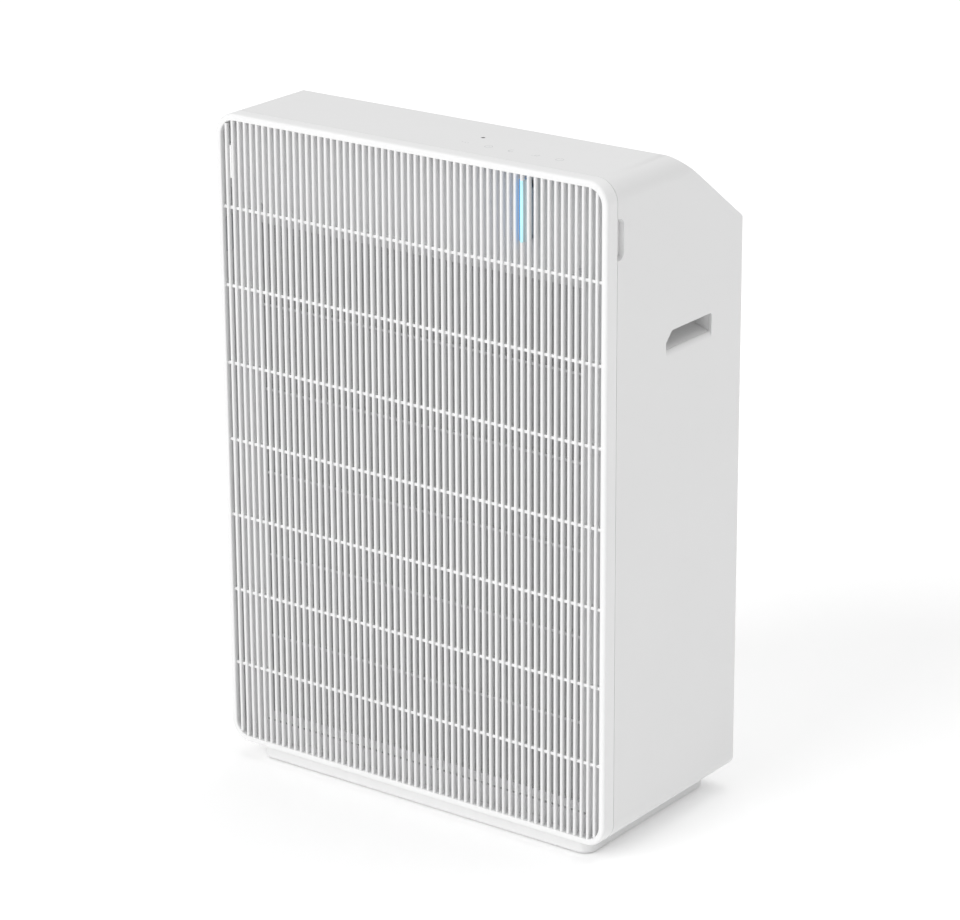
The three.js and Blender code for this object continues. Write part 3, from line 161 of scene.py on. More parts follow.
class Finish:
    """One procedural material and the nodes in it."""

    def __init__(self, name, color, roughness, **plain):
        self.material = bpy.data.materials.new(name)
        self.material.use_nodes = True
        self.nodes = self.material.node_tree.nodes
        self.links = self.material.node_tree.links
        self.shader = self.nodes["Principled BSDF"]
        self.shader.inputs["Base Color"].default_value = (*color, 1)
        self.shader.inputs["Roughness"].default_value = roughness
        for socket, value in plain.items():
            self.shader.inputs[socket.replace("_", " ")].default_value = value

    def node(self, kind, settings=None, inputs=None, output=0):
        """Adds a node: settings first, then each input's value or link, by name or by order."""
        made = self.nodes.new(kind)
        for key, value in (settings or {}).items():
            setattr(made, key, value)
        pairs = inputs.items() if isinstance(inputs, dict) else enumerate(inputs or [])
        for key, value in pairs:
            if isinstance(value, Wire):
                self.links.new(value.socket, made.inputs[key])
            else:
                made.inputs[key].default_value = value
        return Wire(self, made.outputs[output])

    def places(self):
        """Where a point is on the object, in metres."""
        return self.node("ShaderNodeTexCoord", output="Object")

    def axis(self, letter):
        split = self.node("ShaderNodeSeparateXYZ", inputs=[self.places()])
        return Wire(self, split.socket.node.outputs["XYZ".index(letter)])

    def noise(self, per_metre, detail=3.0, stretch=(1, 1, 1)):
        placed = self.node(
            "ShaderNodeMapping", inputs={"Vector": self.places(), "Scale": stretch}
        )
        return self.node(
            "ShaderNodeTexNoise",
            inputs={"Vector": placed, "Scale": per_metre, "Detail": detail},
        )

    def cells(self, per_metre, feature="F1"):
        return self.node(
            "ShaderNodeTexVoronoi",
            {"feature": feature},
            {"Vector": self.places(), "Scale": per_metre},
        )

    def tint(self, factor, first, second):
        """A colour between two, each plain or itself a wire, by a factor from 0 to 1."""
        first, second = (c if isinstance(c, Wire) else (*c, 1) for c in (first, second))
        settings = {"data_type": "RGBA"}
        return self.node("ShaderNodeMix", settings, {0: factor, 6: first, 7: second}, output=2)

    def spread(self, wire, low, high):
        """Turns 0..1 into low..high."""
        return wire * (high - low) + low

    def feed(self, **wires):
        for socket, wire in wires.items():
            self.links.new(wire.socket, self.shader.inputs[socket.replace("_", " ")])

    def bump(self, height, depth_mm, strength=1.0):
        raised = self.node(
            "ShaderNodeBump",
            inputs={"Strength": strength, "Distance": mm(depth_mm), "Height": height},
        )
        self.feed(Normal=raised)


GRAINS_PER_METRE = 2600


def moulded(name, color, roughness, grain_mm=0.02, drift=0.012):
    """Injection-moulded plastic: a fine spark-eroded grain, and tone and gloss that drift a little."""
    made = Finish(name, color, roughness)
    patches = made.noise(9, detail=2)
    darker = tuple(c * (1 - drift * 2) for c in color)
    made.feed(
        Base_Color=made.tint(patches, darker, color),
        Roughness=made.spread(made.noise(60, detail=4), roughness - 0.05, roughness + 0.05),
    )
    made.bump(made.noise(GRAINS_PER_METRE, detail=2), grain_mm, strength=0.35)
    return made.material


def status_glow():
    """The lit light guide: bright on its nose, with a painted glow on its sides, strong blue on the left and
    nearly dark on the right, that stands in for the light it spills onto the rib and gap beside it.
    """
    made = Finish("status_light", (0.30, 0.75, 0.95), 0.28)
    low, high = span("status_light_guide")
    middle, half = mm((low.z + high.z) / 2), mm((high.z - low.z) / 2)
    along = (made.axis("Z") - middle) / half
    fade = 1 - (along * along) * 0.15
    nose = made.axis("Y") < mm(RIB_FRONT + 1.2)
    left = made.axis("X") < mm((low.x + high.x) / 2 - 0.5)
    # Painted light: the blue glow on the guide's left side stands in for its light falling on the rib and
    # into the gap to its left.
    painted_side_glow = made.tint(left, (0.10, 0.14, 0.15), (0.02, 0.16, 0.42))
    glow = made.tint(nose, painted_side_glow, (0.30, 0.66, 0.72))
    dim = made.node("ShaderNodeVectorMath", {"operation": "SCALE"}, {"Vector": glow, "Scale": fade})
    made.shader.inputs["Emission Strength"].default_value = 1.0
    # The base colour is painted blue on the left as well, so ambient light doesn't whiten the painted glow
    # there.
    body = made.tint(nose, made.tint(left, (0.40, 0.44, 0.46), (0.05, 0.20, 0.42)), (0.30, 0.40, 0.42))
    made.feed(Emission_Color=dim, Base_Color=body)
    return made.material


def woven(name, color, thread_mm):
    """Plain-woven tape or net: threads that go over and under."""
    made = Finish(name, color, 0.85)
    per_metre = 2 * math.pi * 1000 / thread_mm
    over = made.node("ShaderNodeMath", {"operation": "SINE"}, [made.axis("X") * per_metre])
    under = made.node("ShaderNodeMath", {"operation": "SINE"}, [made.axis("Z") * per_metre])
    weave = made.spread(over * under, 0.5, 1.0)
    dark = tuple(c * 0.65 for c in color)
    made.feed(Base_Color=made.tint(weave, dark, color))
    made.bump(weave, 0.08, 0.6)
    return made.material


def paper(name, color):
    """Filter paper: soft fibres and a slightly mottled tone."""
    made = Finish(name, color, 0.92)
    fibres = made.noise(900, detail=6, stretch=(1, 1, 0.25))
    dark = tuple(c * 0.93 for c in color)
    made.feed(Base_Color=made.tint(fibres, dark, color))
    made.bump(fibres, 0.06, 0.5)
    return made.material


def granules(name):
    """Activated carbon: coarse, glinting grains."""
    made = Finish(name, (0.02, 0.02, 0.022), 0.55)
    grains = made.cells(420)
    made.feed(
        Base_Color=made.tint(grains, (0.07, 0.07, 0.075), (0.008, 0.008, 0.009)),
        Roughness=made.spread(made.cells(900), 0.35, 0.8),
    )
    made.bump(grains, 0.7, 0.9)
    return made.material


def plated(name, color, roughness=0.32):
    """Zinc-plated steel: faint rolled streaks."""
    made = Finish(name, color, roughness, Metallic=1.0)
    streaks = made.noise(500, detail=3, stretch=(1, 0.08, 1))
    dark = tuple(c * 0.82 for c in color)
    made.feed(
        Base_Color=made.tint(streaks, dark, color),
        Roughness=made.spread(streaks, roughness - 0.08, roughness + 0.1),
    )
    return made.material


def soft_rubber(name, color):
    made = Finish(name, color, 0.8)
    pores = made.noise(1800, detail=4)
    made.feed(Roughness=made.spread(pores, 0.7, 0.95))
    made.bump(pores, 0.05, 0.6)
    return made.material


def solder_mask(name):
    """A circuit board: green mask with lighter tracks under it."""
    made = Finish(name, (0.03, 0.17, 0.07), 0.35)
    tracks = made.cells(160, feature="DISTANCE_TO_EDGE") < 0.08
    made.feed(Base_Color=made.tint(tracks, (0.02, 0.13, 0.05), (0.05, 0.30, 0.12)))
    made.bump(tracks, 0.03, 0.5)
    return made.material


FINISHES = {
    "housing_white": moulded("housing_white", (0.80, 0.80, 0.80), 0.46),
    "cover_white": moulded("cover_white", (0.84, 0.84, 0.84), 0.42),
    "chassis_white": moulded("chassis_white", (0.62, 0.625, 0.63), 0.55),
    "grey_plastic": moulded("grey_plastic", (0.30, 0.31, 0.32), 0.55),
    "fan_white": moulded("fan_white", (0.70, 0.71, 0.71), 0.5),
    "dark_plastic": moulded("dark_plastic", (0.035, 0.037, 0.04), 0.5, drift=0.05),
    "filter_net": woven("filter_net", (0.74, 0.745, 0.75), thread_mm=0.35),
    "carbon": granules("carbon"),
    "filter_card": paper("filter_card", (0.74, 0.74, 0.71)),
    "filter_paper": paper("filter_paper", (0.82, 0.82, 0.79)),
    "foam": soft_rubber("foam", (0.03, 0.03, 0.032)),
    "pull_tape": woven("pull_tape", (0.05, 0.16, 0.38), thread_mm=1.1),
    "rubber": soft_rubber("rubber", (0.025, 0.025, 0.027)),
    "plated_steel": plated("plated_steel", (0.62, 0.63, 0.65)),
    "motor_steel": plated("motor_steel", (0.48, 0.49, 0.51), 0.4),
    "brass_pins": plated("brass_pins", (0.78, 0.58, 0.25), 0.25),
    "circuit_board": solder_mask("circuit_board"),
    "smoked_lens": moulded("smoked_lens", (0.012, 0.013, 0.015), 0.12, grain_mm=0.002),
    "status_light": status_glow(),
}
FINISHES["mark_grey"] = moulded("mark_grey", (0.62, 0.625, 0.63), 0.5)


def paint_frame():
    """Every CAD node takes its slot's finish, but the light's board has a white mask."""
    slots = {entry["node"]: entry["material_slot"] for entry in frame["record"]["subparts"]}
    finishes = {**slots, "status_light_board": "chassis_white"}
    for name, node in frame["nodes"].items():
        node.data.materials.clear()
        node.data.materials.append(FINISHES[finishes[name]])


paint_frame()


# ---------------------------------------------------------------- mesh making


def rounded_outline(corners, steps=12):
    """Points of a closed anticlockwise outline, from corners (u, v, radius)."""
    points = []
    count = len(corners)
    for i, (u, v, radius) in enumerate(corners):
        corner = Vector((u, v))
        before = Vector(corners[i - 1][:2]) - corner
        after = Vector(corners[(i + 1) % count][:2]) - corner
        before.normalize()
        after.normalize()
        if radius <= 0:
            points.append(corner)
            continue
        half = math.acos(max(-1, min(1, before.dot(after)))) / 2
        centre = corner + (before + after).normalized() * (radius / math.sin(half))
        start = corner + before * (radius / math.tan(half)) - centre
        end = corner + after * (radius / math.tan(half)) - centre
        first = math.atan2(start.y, start.x)
        sweep = math.atan2(end.y, end.x) - first
        sweep = (sweep + math.pi) % (2 * math.pi) - math.pi
        for k in range(steps + 1):
            angle = first + sweep * k / steps
            points.append(centre + radius * Vector((math.cos(angle), math.sin(angle))))
    return points


def rectangle(left, right, low, high, radius=0.0):
    return [(left, low, radius), (right, low, radius), (right, high, radius), (left, high, radius)]


def from_front(u, v, w):
    return Vector((u, w, v))


def from_side(u, v, w):
    return Vector((w, u, v))


def in_plan(u, v, w):
    return Vector((u, v, w))


def prism(mesh, points, near, far, lay):
    """Adds a closed prism to a mesh: an outline swept between two depths."""
    ends = [
        [mesh.verts.new(lay(p[0], p[1], w) / 1000) for p in points] for w in (near, far)
    ]
    faces = [mesh.faces.new(ends[0]), mesh.faces.new(ends[1]), *bridge(mesh, *ends)]
    bmesh.ops.recalc_face_normals(mesh, faces=faces)


def slab(mesh, left, right, front, rear, low, high):
    prism(mesh, [(left, low), (right, low), (right, high), (left, high)], front, rear, from_front)


def turned(mesh, profile, centre, direction="Y", steps=48):
    """Adds a body turned about a direction, from (radius, along) points; it closes on the axis."""
    rings = []
    for radius, along in profile:
        ring = []
        for k in range(steps if radius > 0 else 1):
            angle = 2 * math.pi * k / steps
            u, v = radius * math.cos(angle), radius * math.sin(angle)
            offset = {"X": (along, u, v), "Y": (u, along, v), "Z": (u, v, along)}[direction]
            ring.append(mesh.verts.new((Vector(offset) + centre) / 1000))
        rings.append(ring)
    faces = []
    for first, second in zip(rings, rings[1:]):
        for k in range(steps):
            quad = [first[k % len(first)], first[(k + 1) % len(first)]]
            quad += [second[(k + 1) % len(second)], second[k % len(second)]]
            corners = list(dict.fromkeys(quad))
            if len(corners) > 2:
                faces.append(mesh.faces.new(corners))
    bmesh.ops.recalc_face_normals(mesh, faces=faces)


def loose(name, mesh):
    """Turns a mesh being built into an object in the scene that isn't a piece yet."""
    bmesh.ops.recalc_face_normals(mesh, faces=mesh.faces)
    data = bpy.data.meshes.new(name)
    mesh.to_mesh(data)
    mesh.free()
    made = bpy.data.objects.new(name, data)
    bpy.context.scene.collection.objects.link(made)
    return made


def piece(made, slot, body="housing", stands_for=(), smooth=35, finish=None):
    """Makes an object a piece: smooth between crisp edges, finished, and riding on its body."""
    made.data.name = made.name
    made.data.polygons.foreach_set("use_smooth", [True] * len(made.data.polygons))
    made.data.set_sharp_from_angle(angle=math.radians(smooth))
    made.data.materials.clear()
    made.data.materials.append(FINISHES[finish or slot])
    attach(made, body)
    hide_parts(*stands_for)
    return made


def solid(name, *prisms):
    """A loose mesh object for cutting and joining: prisms are (points, near, far, lay)."""
    mesh = bmesh.new()
    for points, near, far, lay in prisms:
        prism(mesh, points, near, far, lay)
    return loose(name, mesh)


def carve(body, tool, operation):
    """Cuts, joins or crosses a body with a tool, and drops the tool."""
    step = body.modifiers.new("carve", "BOOLEAN")
    step.operation = operation
    step.object = tool
    step.solver = "EXACT"
    apply_modifiers(body)
    bpy.data.objects.remove(tool)


def apply_modifiers(body):
    graph = bpy.context.evaluated_depsgraph_get()
    data = bpy.data.meshes.new_from_object(body.evaluated_get(graph))
    body.modifiers.clear()
    body.data = data


def soften(body, width, segments=2, angle=40):
    """Rounds a piece's sharp edges by a width in millimetres."""
    step = body.modifiers.new("soften", "BEVEL")
    step.width = mm(width)
    step.segments = segments
    step.limit_method = "ANGLE"
    step.angle_limit = math.radians(angle)
    apply_modifiers(body)


def flatten(made):
    """Keeps large flat faces evenly shaded next to narrow rounded edges."""
    step = made.modifiers.new("even shading", "WEIGHTED_NORMAL")
    step.keep_sharp = True


# ---------------------------------------------------------------- front cover

SLOT_HALF = HALF_WIDTH - RIM_FACE
RIB_COUNT = round((2 * SLOT_HALF - RIB_SLOT) / (RIB_WIDTH + RIB_SLOT))
RIB_PITCH = (2 * SLOT_HALF + RIB_WIDTH) / (RIB_COUNT + 1)


def rib_x(i):
    return -SLOT_HALF - RIB_WIDTH / 2 + (i + 1) * RIB_PITCH


def rib_section(x, depth=RIB_DEPTH, width=RIB_WIDTH, nose=1.3):
    """A rib seen from above: a flat-sided bar with a rounded nose towards the front."""
    half = width / 2
    corners = [
        (x - half, RIB_FRONT + depth, 0),
        (x - half, RIB_FRONT, nose),
        (x + half, RIB_FRONT, nose),
        (x + half, RIB_FRONT + depth, 0),
    ]
    return rounded_outline(corners[::-1], steps=4)


def opening_reach(x):
    """How far up and down the rim's opening reaches at a place across the front."""
    radius = CORNER_R - RIM_FACE
    beyond = abs(x) - (SLOT_HALF - radius)
    lost = radius - math.sqrt(max(radius**2 - beyond**2, 0)) if beyond > 0 else 0
    return FLOOR_LIFT + RIM_FACE + lost, TOP - RIM_FACE - lost


def quarter(steps=6):
    """Sine and cosine of angles from nothing to a right angle."""
    angles = [math.pi / 2 * k / steps for k in range(steps + 1)]
    return [(math.sin(angle), math.cos(angle)) for angle in angles]


def rim(mesh):
    """The cover's frame: a soft lip in front of a thin skirt, swept round the rounded outline."""
    section = [(SKIRT_EDGE, COVER_DEPTH), (0.0, COVER_DEPTH - SKIRT_EDGE)]
    section += [(LIP_R * (1 - c), LIP_R * (1 - s)) for s, c in quarter()]
    section += [(RIM_FACE - INNER_LIP_R * (1 - s), INNER_LIP_R * (1 - c)) for s, c in quarter()]
    section += [(RIM_FACE, RIB_SETBACK + RIB_DEPTH), (WALL, RIB_SETBACK + RIB_DEPTH), (WALL, COVER_DEPTH)]
    rings = []
    for inset, depth in section:
        half = HALF_WIDTH - inset
        corners = rectangle(-half, half, FLOOR_LIFT + inset, TOP - inset, CORNER_R - inset)
        ring = rounded_outline(corners, steps=14)
        rings.append([mesh.verts.new(Vector((u, FRONT + depth, v)) / 1000) for u, v in ring])
    for i, first in enumerate(rings):
        second = rings[(i + 1) % len(rings)]
        bridge(mesh, first, second)


def bridge(mesh, first, second):
    """Joins two closed loops of as many vertices with a band of faces."""
    count = len(first)
    return [
        mesh.faces.new((first[k], first[(k + 1) % count], second[(k + 1) % count], second[k]))
        for k in range(count)
    ]


def front_cover():
    mesh = bmesh.new()
    rim(mesh)
    light_low, light_high = span("status_light_guide")
    light_x = (light_low.x + light_high.x) / 2
    for i in range(RIB_COUNT):
        x = rib_x(i)
        low, high = opening_reach(abs(x) + RIB_WIDTH / 2)
        stretches = [(low - 0.8, high + 0.8)]
        if abs(x - light_x) < RIB_WIDTH:
            stretches = [(low - 0.8, light_low.z - 0.15), (light_high.z + 0.15, high + 0.8)]
        for bottom, top in stretches:
            prism(mesh, rib_section(x), bottom, top, in_plan)
    bars = math.floor((TOP - FLOOR_LIFT - FIRST_BAR_DROP - 60) / BAR_PITCH) + 1
    for i in range(bars):
        z = TOP - FIRST_BAR_DROP - i * BAR_PITCH
        slab(
            mesh, -SLOT_HALF - 0.8, SLOT_HALF + 0.8, RIB_REAR - 1.3, RIB_REAR + BAR_DEPTH,
            z - BAR_HEIGHT / 2, z + BAR_HEIGHT / 2,
        )
    lug_x, lug_low = HALF_WIDTH - LUG_INSET, FLOOR_LIFT + WALL + GAP
    for x in (-lug_x, lug_x):
        slab(
            mesh, x - LUG_HALF, x + LUG_HALF, RIB_REAR - 1, COVER_HIGH.y,
            lug_low, lug_low + LUG_HEIGHT,
        )
    return piece(loose("ribbed_cover", mesh), "cover_white", "cover", ["front_cover"])


def light_guide():
    """The lit rib, with the flange behind its neighbours that holds it."""
    low, high = span("status_light_guide")
    x = (low.x + high.x) / 2
    mesh = bmesh.new()
    prism(mesh, rib_section(x, depth=high.y - RIB_FRONT), low.z, high.z, in_plan)
    slab(mesh, low.x, high.x, RIB_REAR + GAP, RIB_REAR + GAP + 1.5, low.z, high.z)
    return piece(loose("light_guide", mesh), "status_light", "cover", ["status_light_guide"])


front_cover()
light_guide()


# ---------------------------------------------------------------- housing shell

SLOPE = math.atan2(CHAMFER_DROP, CHAMFER_RUN)


def envelope(inset, front):
    """The housing's outside, or a smaller copy of it, as the crossing of its three views."""
    half = HALF_WIDTH - inset
    top = SHELL_TOP - inset
    drop = inset * math.tan(SLOPE / 2)
    seen_from_front = solid("envelope", (
        rounded_outline(rectangle(-half, half, FLOOR_LIFT + inset, top, CORNER_R - inset), 16),
        front, BACK + 50, from_front,
    ))
    side = rounded_outline([
        (front - 50, FLOOR_LIFT + inset, 0),
        (BACK - inset, FLOOR_LIFT + inset, 0.8),
        (BACK - inset, TOP - CHAMFER_DROP - inset * math.tan((math.pi / 2 - SLOPE) / 2), 6),
        (BACK - CHAMFER_RUN - drop, top, 12),
        (front - 50, top, 0),
    ], 10)
    plan = rounded_outline([
        (-half, front - 50, 0),
        (half, front - 50, 0),
        (half, BACK - inset, 8 - inset),
        (-half, BACK - inset, 8 - inset),
    ], 12)
    carve(seen_from_front, solid("side", (side, -half - 50, half + 50, from_side)), "INTERSECT")
    carve(seen_from_front, solid("plan", (plan, -50, TOP + 50, in_plan)), "INTERSECT")
    return seen_from_front


PANEL_LOW, PANEL_HIGH = span("rear_panel")
CUP_LOW, CUP_HIGH = span("handle_cup_right")
GRILLE_HALF = HALF_WIDTH - 55
GRILLE_LENGTH = 66.0
GRILLE_FROM_EDGE = 14.0
HANDLE_FRONT = CUP_LOW.y + 1.8
HANDLE_REAR = CUP_HIGH.y - 1.8
HANDLE_TOP = TOP - 147
HANDLE_LOW = HANDLE_TOP - 17


def slope_frame():
    middle = GRILLE_FROM_EDGE + GRILLE_LENGTH / 2
    place = Vector((
        0,
        BACK - CHAMFER_RUN + middle * math.cos(SLOPE),
        TOP - middle * math.sin(SLOPE),
    )) / 1000
    return Matrix.Translation(place) @ Matrix.Rotation(-SLOPE, 4, "X")


def grille_cutter():
    half, length = GRILLE_HALF + GAP, GRILLE_LENGTH / 2 + GAP
    cutter = solid("grille", (
        rounded_outline(rectangle(-half, half, -length, length, 3), 8), -10, 6, in_plan,
    ))
    cutter.data.transform(slope_frame())
    return cutter


def handle_cutter(side):
    """The hand-hold's mouth, whose lower lip flares outwards."""
    outline = rounded_outline([
        (HANDLE_FRONT, HANDLE_LOW, 3),
        (HANDLE_REAR, HANDLE_LOW, 1.5),
        (HANDLE_REAR, HANDLE_TOP, 2),
        (HANDLE_FRONT + 9, HANDLE_TOP, 4),
        (HANDLE_FRONT, HANDLE_TOP - 9, 3),
    ], 8)
    mesh = bmesh.new()
    flare = [(WALL + 2, 0.0), (WALL * 0.9, 0.0), (WALL * 0.6, 0.9)]
    flare += [(WALL * 0.3, 2.4), (0.0, 4.6), (-1.5, 7.5)]
    rings = []
    for inward, drop in flare:
        x = side * (HALF_WIDTH - inward)
        ring = []
        for u, v in outline:
            low_share = max(0.0, min(1.0, (HANDLE_TOP - 8 - v) / (HANDLE_TOP - 8 - HANDLE_LOW)))
            ring.append(mesh.verts.new(Vector((x, u, v - drop * low_share)) / 1000))
        rings.append(ring)
    for first, second in zip(rings, rings[1:]):
        bridge(mesh, first, second)
    mesh.faces.new(rings[0])
    mesh.faces.new(rings[-1])
    return loose("handle", mesh)


def notch_outline(grow):
    rear = SEAM - GAP + NOTCH_REACH + grow
    return rounded_outline([
        (SEAM - 6, NOTCH_LOW - grow, 0),
        (rear, NOTCH_LOW - grow, 6 + grow),
        (rear, NOTCH_TOP + grow, 6 + grow),
        (SEAM - 6, NOTCH_TOP + grow, 0),
    ], 8)


def across(side, points, inner, outer):
    low, high = sorted((side * (HALF_WIDTH - inner), side * (HALF_WIDTH - outer)))
    return (points, low, high, from_side)


def panel_outline(grow):
    return rounded_outline(rectangle(
        PANEL_LOW.x - grow, PANEL_HIGH.x + grow, PANEL_LOW.z - grow, PANEL_HIGH.z + grow, 8 + grow,
    ), 8)


def main_shell():
    body = envelope(0, SEAM)
    hollow = envelope(WALL, SEAM - 20)
    for side in (-1, 1):
        carve(hollow, solid("boss", across(side, notch_outline(2), NOTCH_DEPTH + 2, WALL)), "DIFFERENCE")
    carve(body, hollow, "DIFFERENCE")
    ledge = solid("ledge", (panel_outline(WALL), PANEL_LOW.y - 2.6, BACK - 1, from_front))
    carve(ledge, solid("window", (panel_outline(-9), -BACK, BACK + 9, from_front)), "DIFFERENCE")
    carve(body, ledge, "UNION")
    carve(body, solid("seat", (panel_outline(GAP), PANEL_LOW.y - GAP, BACK + 9, from_front)), "DIFFERENCE")
    for side in (-1, 1):
        carve(body, handle_cutter(side), "DIFFERENCE")
        carve(body, solid("notch", across(side, notch_outline(0), NOTCH_DEPTH, -5)), "DIFFERENCE")
    carve(body, grille_cutter(), "DIFFERENCE")
    lens = span("light_sensor_lens")
    centre = (lens[0] + lens[1]) / 2
    drill = bmesh.new()
    profile = [(0, -12), (LENS_HOLE_R, -12), (LENS_HOLE_R, 6), (0, 6)]
    turned(drill, profile, Vector((centre.x, centre.y, TOP)), "Z", 32)
    carve(body, loose("drill", drill), "DIFFERENCE")
    soften(body, 0.35, 2, 38)
    body.name = "housing_shell"
    flatten(piece(body, "housing_white", stands_for=["main_shell"], smooth=30))


main_shell()


# ---------------------------------------------------------------- grille, rear panel, plinth


def outlet_grille():
    """Rounded ribs down the slope, in a frame whose lip lies behind the shell."""
    half, length, border, lip = GRILLE_HALF, GRILLE_LENGTH / 2, 6, 4
    depth = WALL + GAP + 1.6
    outline = rounded_outline(rectangle(-half, half, -length, length, 2.6), 8)
    body = solid("outlet_vent", (outline, -depth, 0, in_plan))
    edge = rectangle(-half - lip, half + lip, -length - lip, length + lip)
    carve(body, solid("lip", (rounded_outline(edge), -depth, 1.6 - depth, in_plan)), "UNION")
    reach, across = length - border, half - border
    opening = rounded_outline(rectangle(-across, across, -reach, reach, 1.5), 6)
    carve(body, solid("opening", (opening, -depth - 5, 5, in_plan)), "DIFFERENCE")
    soften(body, 0.5)
    ribs = bmesh.new()
    count = round((2 * across - RIB_SLOT) / (RIB_WIDTH + RIB_SLOT))
    for i in range(count):
        x = -across - RIB_WIDTH / 2 + (i + 1) * (2 * across + RIB_WIDTH) / (count + 1)
        left, right = x - RIB_WIDTH / 2, x + RIB_WIDTH / 2
        corners = [(left, -depth, 0), (right, -depth, 0)]
        corners += [(right, -RIB_SETBACK, 1.2), (left, -RIB_SETBACK, 1.2)]
        prism(ribs, rounded_outline(corners, 4), -reach - 1, reach + 1, from_front)
    ribs.from_mesh(body.data)
    bpy.data.objects.remove(body)
    made = loose("outlet_vent", ribs)
    made.data.transform(slope_frame())
    return piece(made, "housing_white", stands_for=["outlet_grille"])


def rear_panel():
    low, high = span("rear_panel")
    body = solid("rear_cover", (panel_outline(0), low.y, high.y, from_front))
    socket_low, socket_high = span("mains_inlet")
    lip = 3 - GAP
    socket = rounded_outline(rectangle(
        socket_low.x + lip, socket_high.x - lip, socket_low.z + lip, socket_high.z - lip, 3,
    ))
    carve(body, solid("socket", (socket, low.y - 5, high.y + 5, from_front)), "DIFFERENCE")
    for i in range(1, 5):
        first, last = span(f"rear_screw_{i}")
        centre = (first + last) / 2
        centre.y = 0
        hole = bmesh.new()
        near, far = low.y - 5, high.y + 5
        turned(hole, [(0, near), (SCREW_HOLE_R, near), (SCREW_HOLE_R, far), (0, far)], centre, "Y", 24)
        carve(body, loose("hole", hole), "DIFFERENCE")
    soften(body, 0.4)
    return piece(body, "housing_white", stands_for=["rear_panel"])


def base_plinth():
    low, high = span("base_plinth")
    edge = rectangle(low.x, high.x, low.y, high.y, PLINTH_R)
    body = solid("plinth", (rounded_outline(edge), low.z, high.z, in_plan))
    inner = rectangle(low.x + WALL, high.x - WALL, low.y + WALL, high.y - WALL, PLINTH_R - WALL)
    hollow = solid("hollow", (rounded_outline(inner), low.z - 5, high.z - 2.4, in_plan))
    carve(body, hollow, "DIFFERENCE")
    soften(body, 0.8, 3)
    posts = bmesh.new()
    for i in range(1, 5):
        first, last = span(f"foot_pad_{i}")
        centre = (first + last) / 2
        centre.z = 0
        foot, head = last.z + GAP, high.z - 1
        profile = [(0, foot), (PAD_POST_R - 0.4, foot), (PAD_POST_R, foot + 0.4)]
        profile += [(PAD_POST_R, head), (0, head)]
        turned(posts, profile, centre, "Z", 48)
    posts.from_mesh(body.data)
    bpy.data.objects.remove(body)
    return piece(loose("plinth", posts), "housing_white", stands_for=["base_plinth"])


outlet_grille()
rear_panel()
base_plinth()


# ---------------------------------------------------------------- touch marks


def arc_band(mesh, centre, radius, line, start, sweep, steps=28):
    """A printed line that follows an arc on the flat top."""
    angles = [math.radians(start + sweep * k / steps) for k in range(steps + 1)]
    inner, outer = (
        [(centre[0] + r * math.cos(a), centre[1] + r * math.sin(a)) for a in angles]
        for r in (radius, radius + line)
    )
    prism(mesh, outer + inner[::-1], MARK_LOW, TOP, in_plan)


def bar(mesh, centre, width, length):
    u, v = centre
    corners = rectangle(u - width / 2, u + width / 2, v - length / 2, v + length / 2)
    prism(mesh, rounded_outline(corners), MARK_LOW, TOP, in_plan)


def touch_marks():
    """Plain, generic marks over the five touch pads: dots, clock, crescent, speed bars and power."""
    low, high = span("control_board")
    middle, y = (low.x + high.x) / 2, (low.y + high.y) / 2 - 6
    dots, clock, night, speed, power = (middle + TOUCH_PITCH * i for i in (-2, -1, 0, 1, 2))
    mesh = bmesh.new()
    for i in (-1, 0, 1):
        bar(mesh, (dots + 3 * i, y), 1.1, 1.1)
        bar(mesh, (speed + 2.4 * i, y - 1 + i), 0.8, 3.4 + 2 * i)
    arc_band(mesh, (clock, y), 3.0, 0.6, 0, 352)
    bar(mesh, (clock, y + 0.9), 0.5, 1.8)
    arc_band(mesh, (night, y), 2.6, 0.9, 100, 220)
    arc_band(mesh, (power, y), 3.0, 0.6, 122, 296)
    bar(mesh, (power, y + 2.8), 0.6, 3.0)
    return piece(loose("touch_marks", mesh), "grey_plastic", finish="mark_grey")


def vent_shade_filler():
    """A pale sheet just behind the air quality sensor's vents, flush enough to paint out the shade that would
    show in them.
    """
    low, high = span("air_quality_sensor")
    front = span("upper_fascia")[0].y + 0.5
    mesh = bmesh.new()
    slab(mesh, low.x + 3, high.x - 3, front, front + 0.6, low.z + 1, high.z - 1)
    return piece(loose("vent_shade_filler", mesh), "chassis_white")


touch_marks()
vent_shade_filler()


# ---------------------------------------------------------------- filters


def prefilter_net():
    """Fine crossed threads, welded to the frame's rear."""
    low, high = span("prefilter_net")
    mesh = bmesh.new()
    middle, half = (low.y + high.y) / 2, NET_THREAD / 2
    across = round((high.x - low.x) / NET_PITCH)
    upward = round((high.z - low.z) / NET_PITCH)
    for i in range(across + 1):
        x = low.x + half + (high.x - low.x - NET_THREAD) * i / across
        slab(mesh, x - half, x + half, middle - NET_THREAD, middle + 0.05, low.z, high.z)
    for i in range(upward + 1):
        z = low.z + half + (high.z - low.z - NET_THREAD) * i / upward
        slab(mesh, low.x, high.x, middle - 0.05, middle + NET_THREAD, z - half, z + half)
    return piece(loose("prefilter_mesh", mesh), "filter_net", "prefilter", ["prefilter_net"])


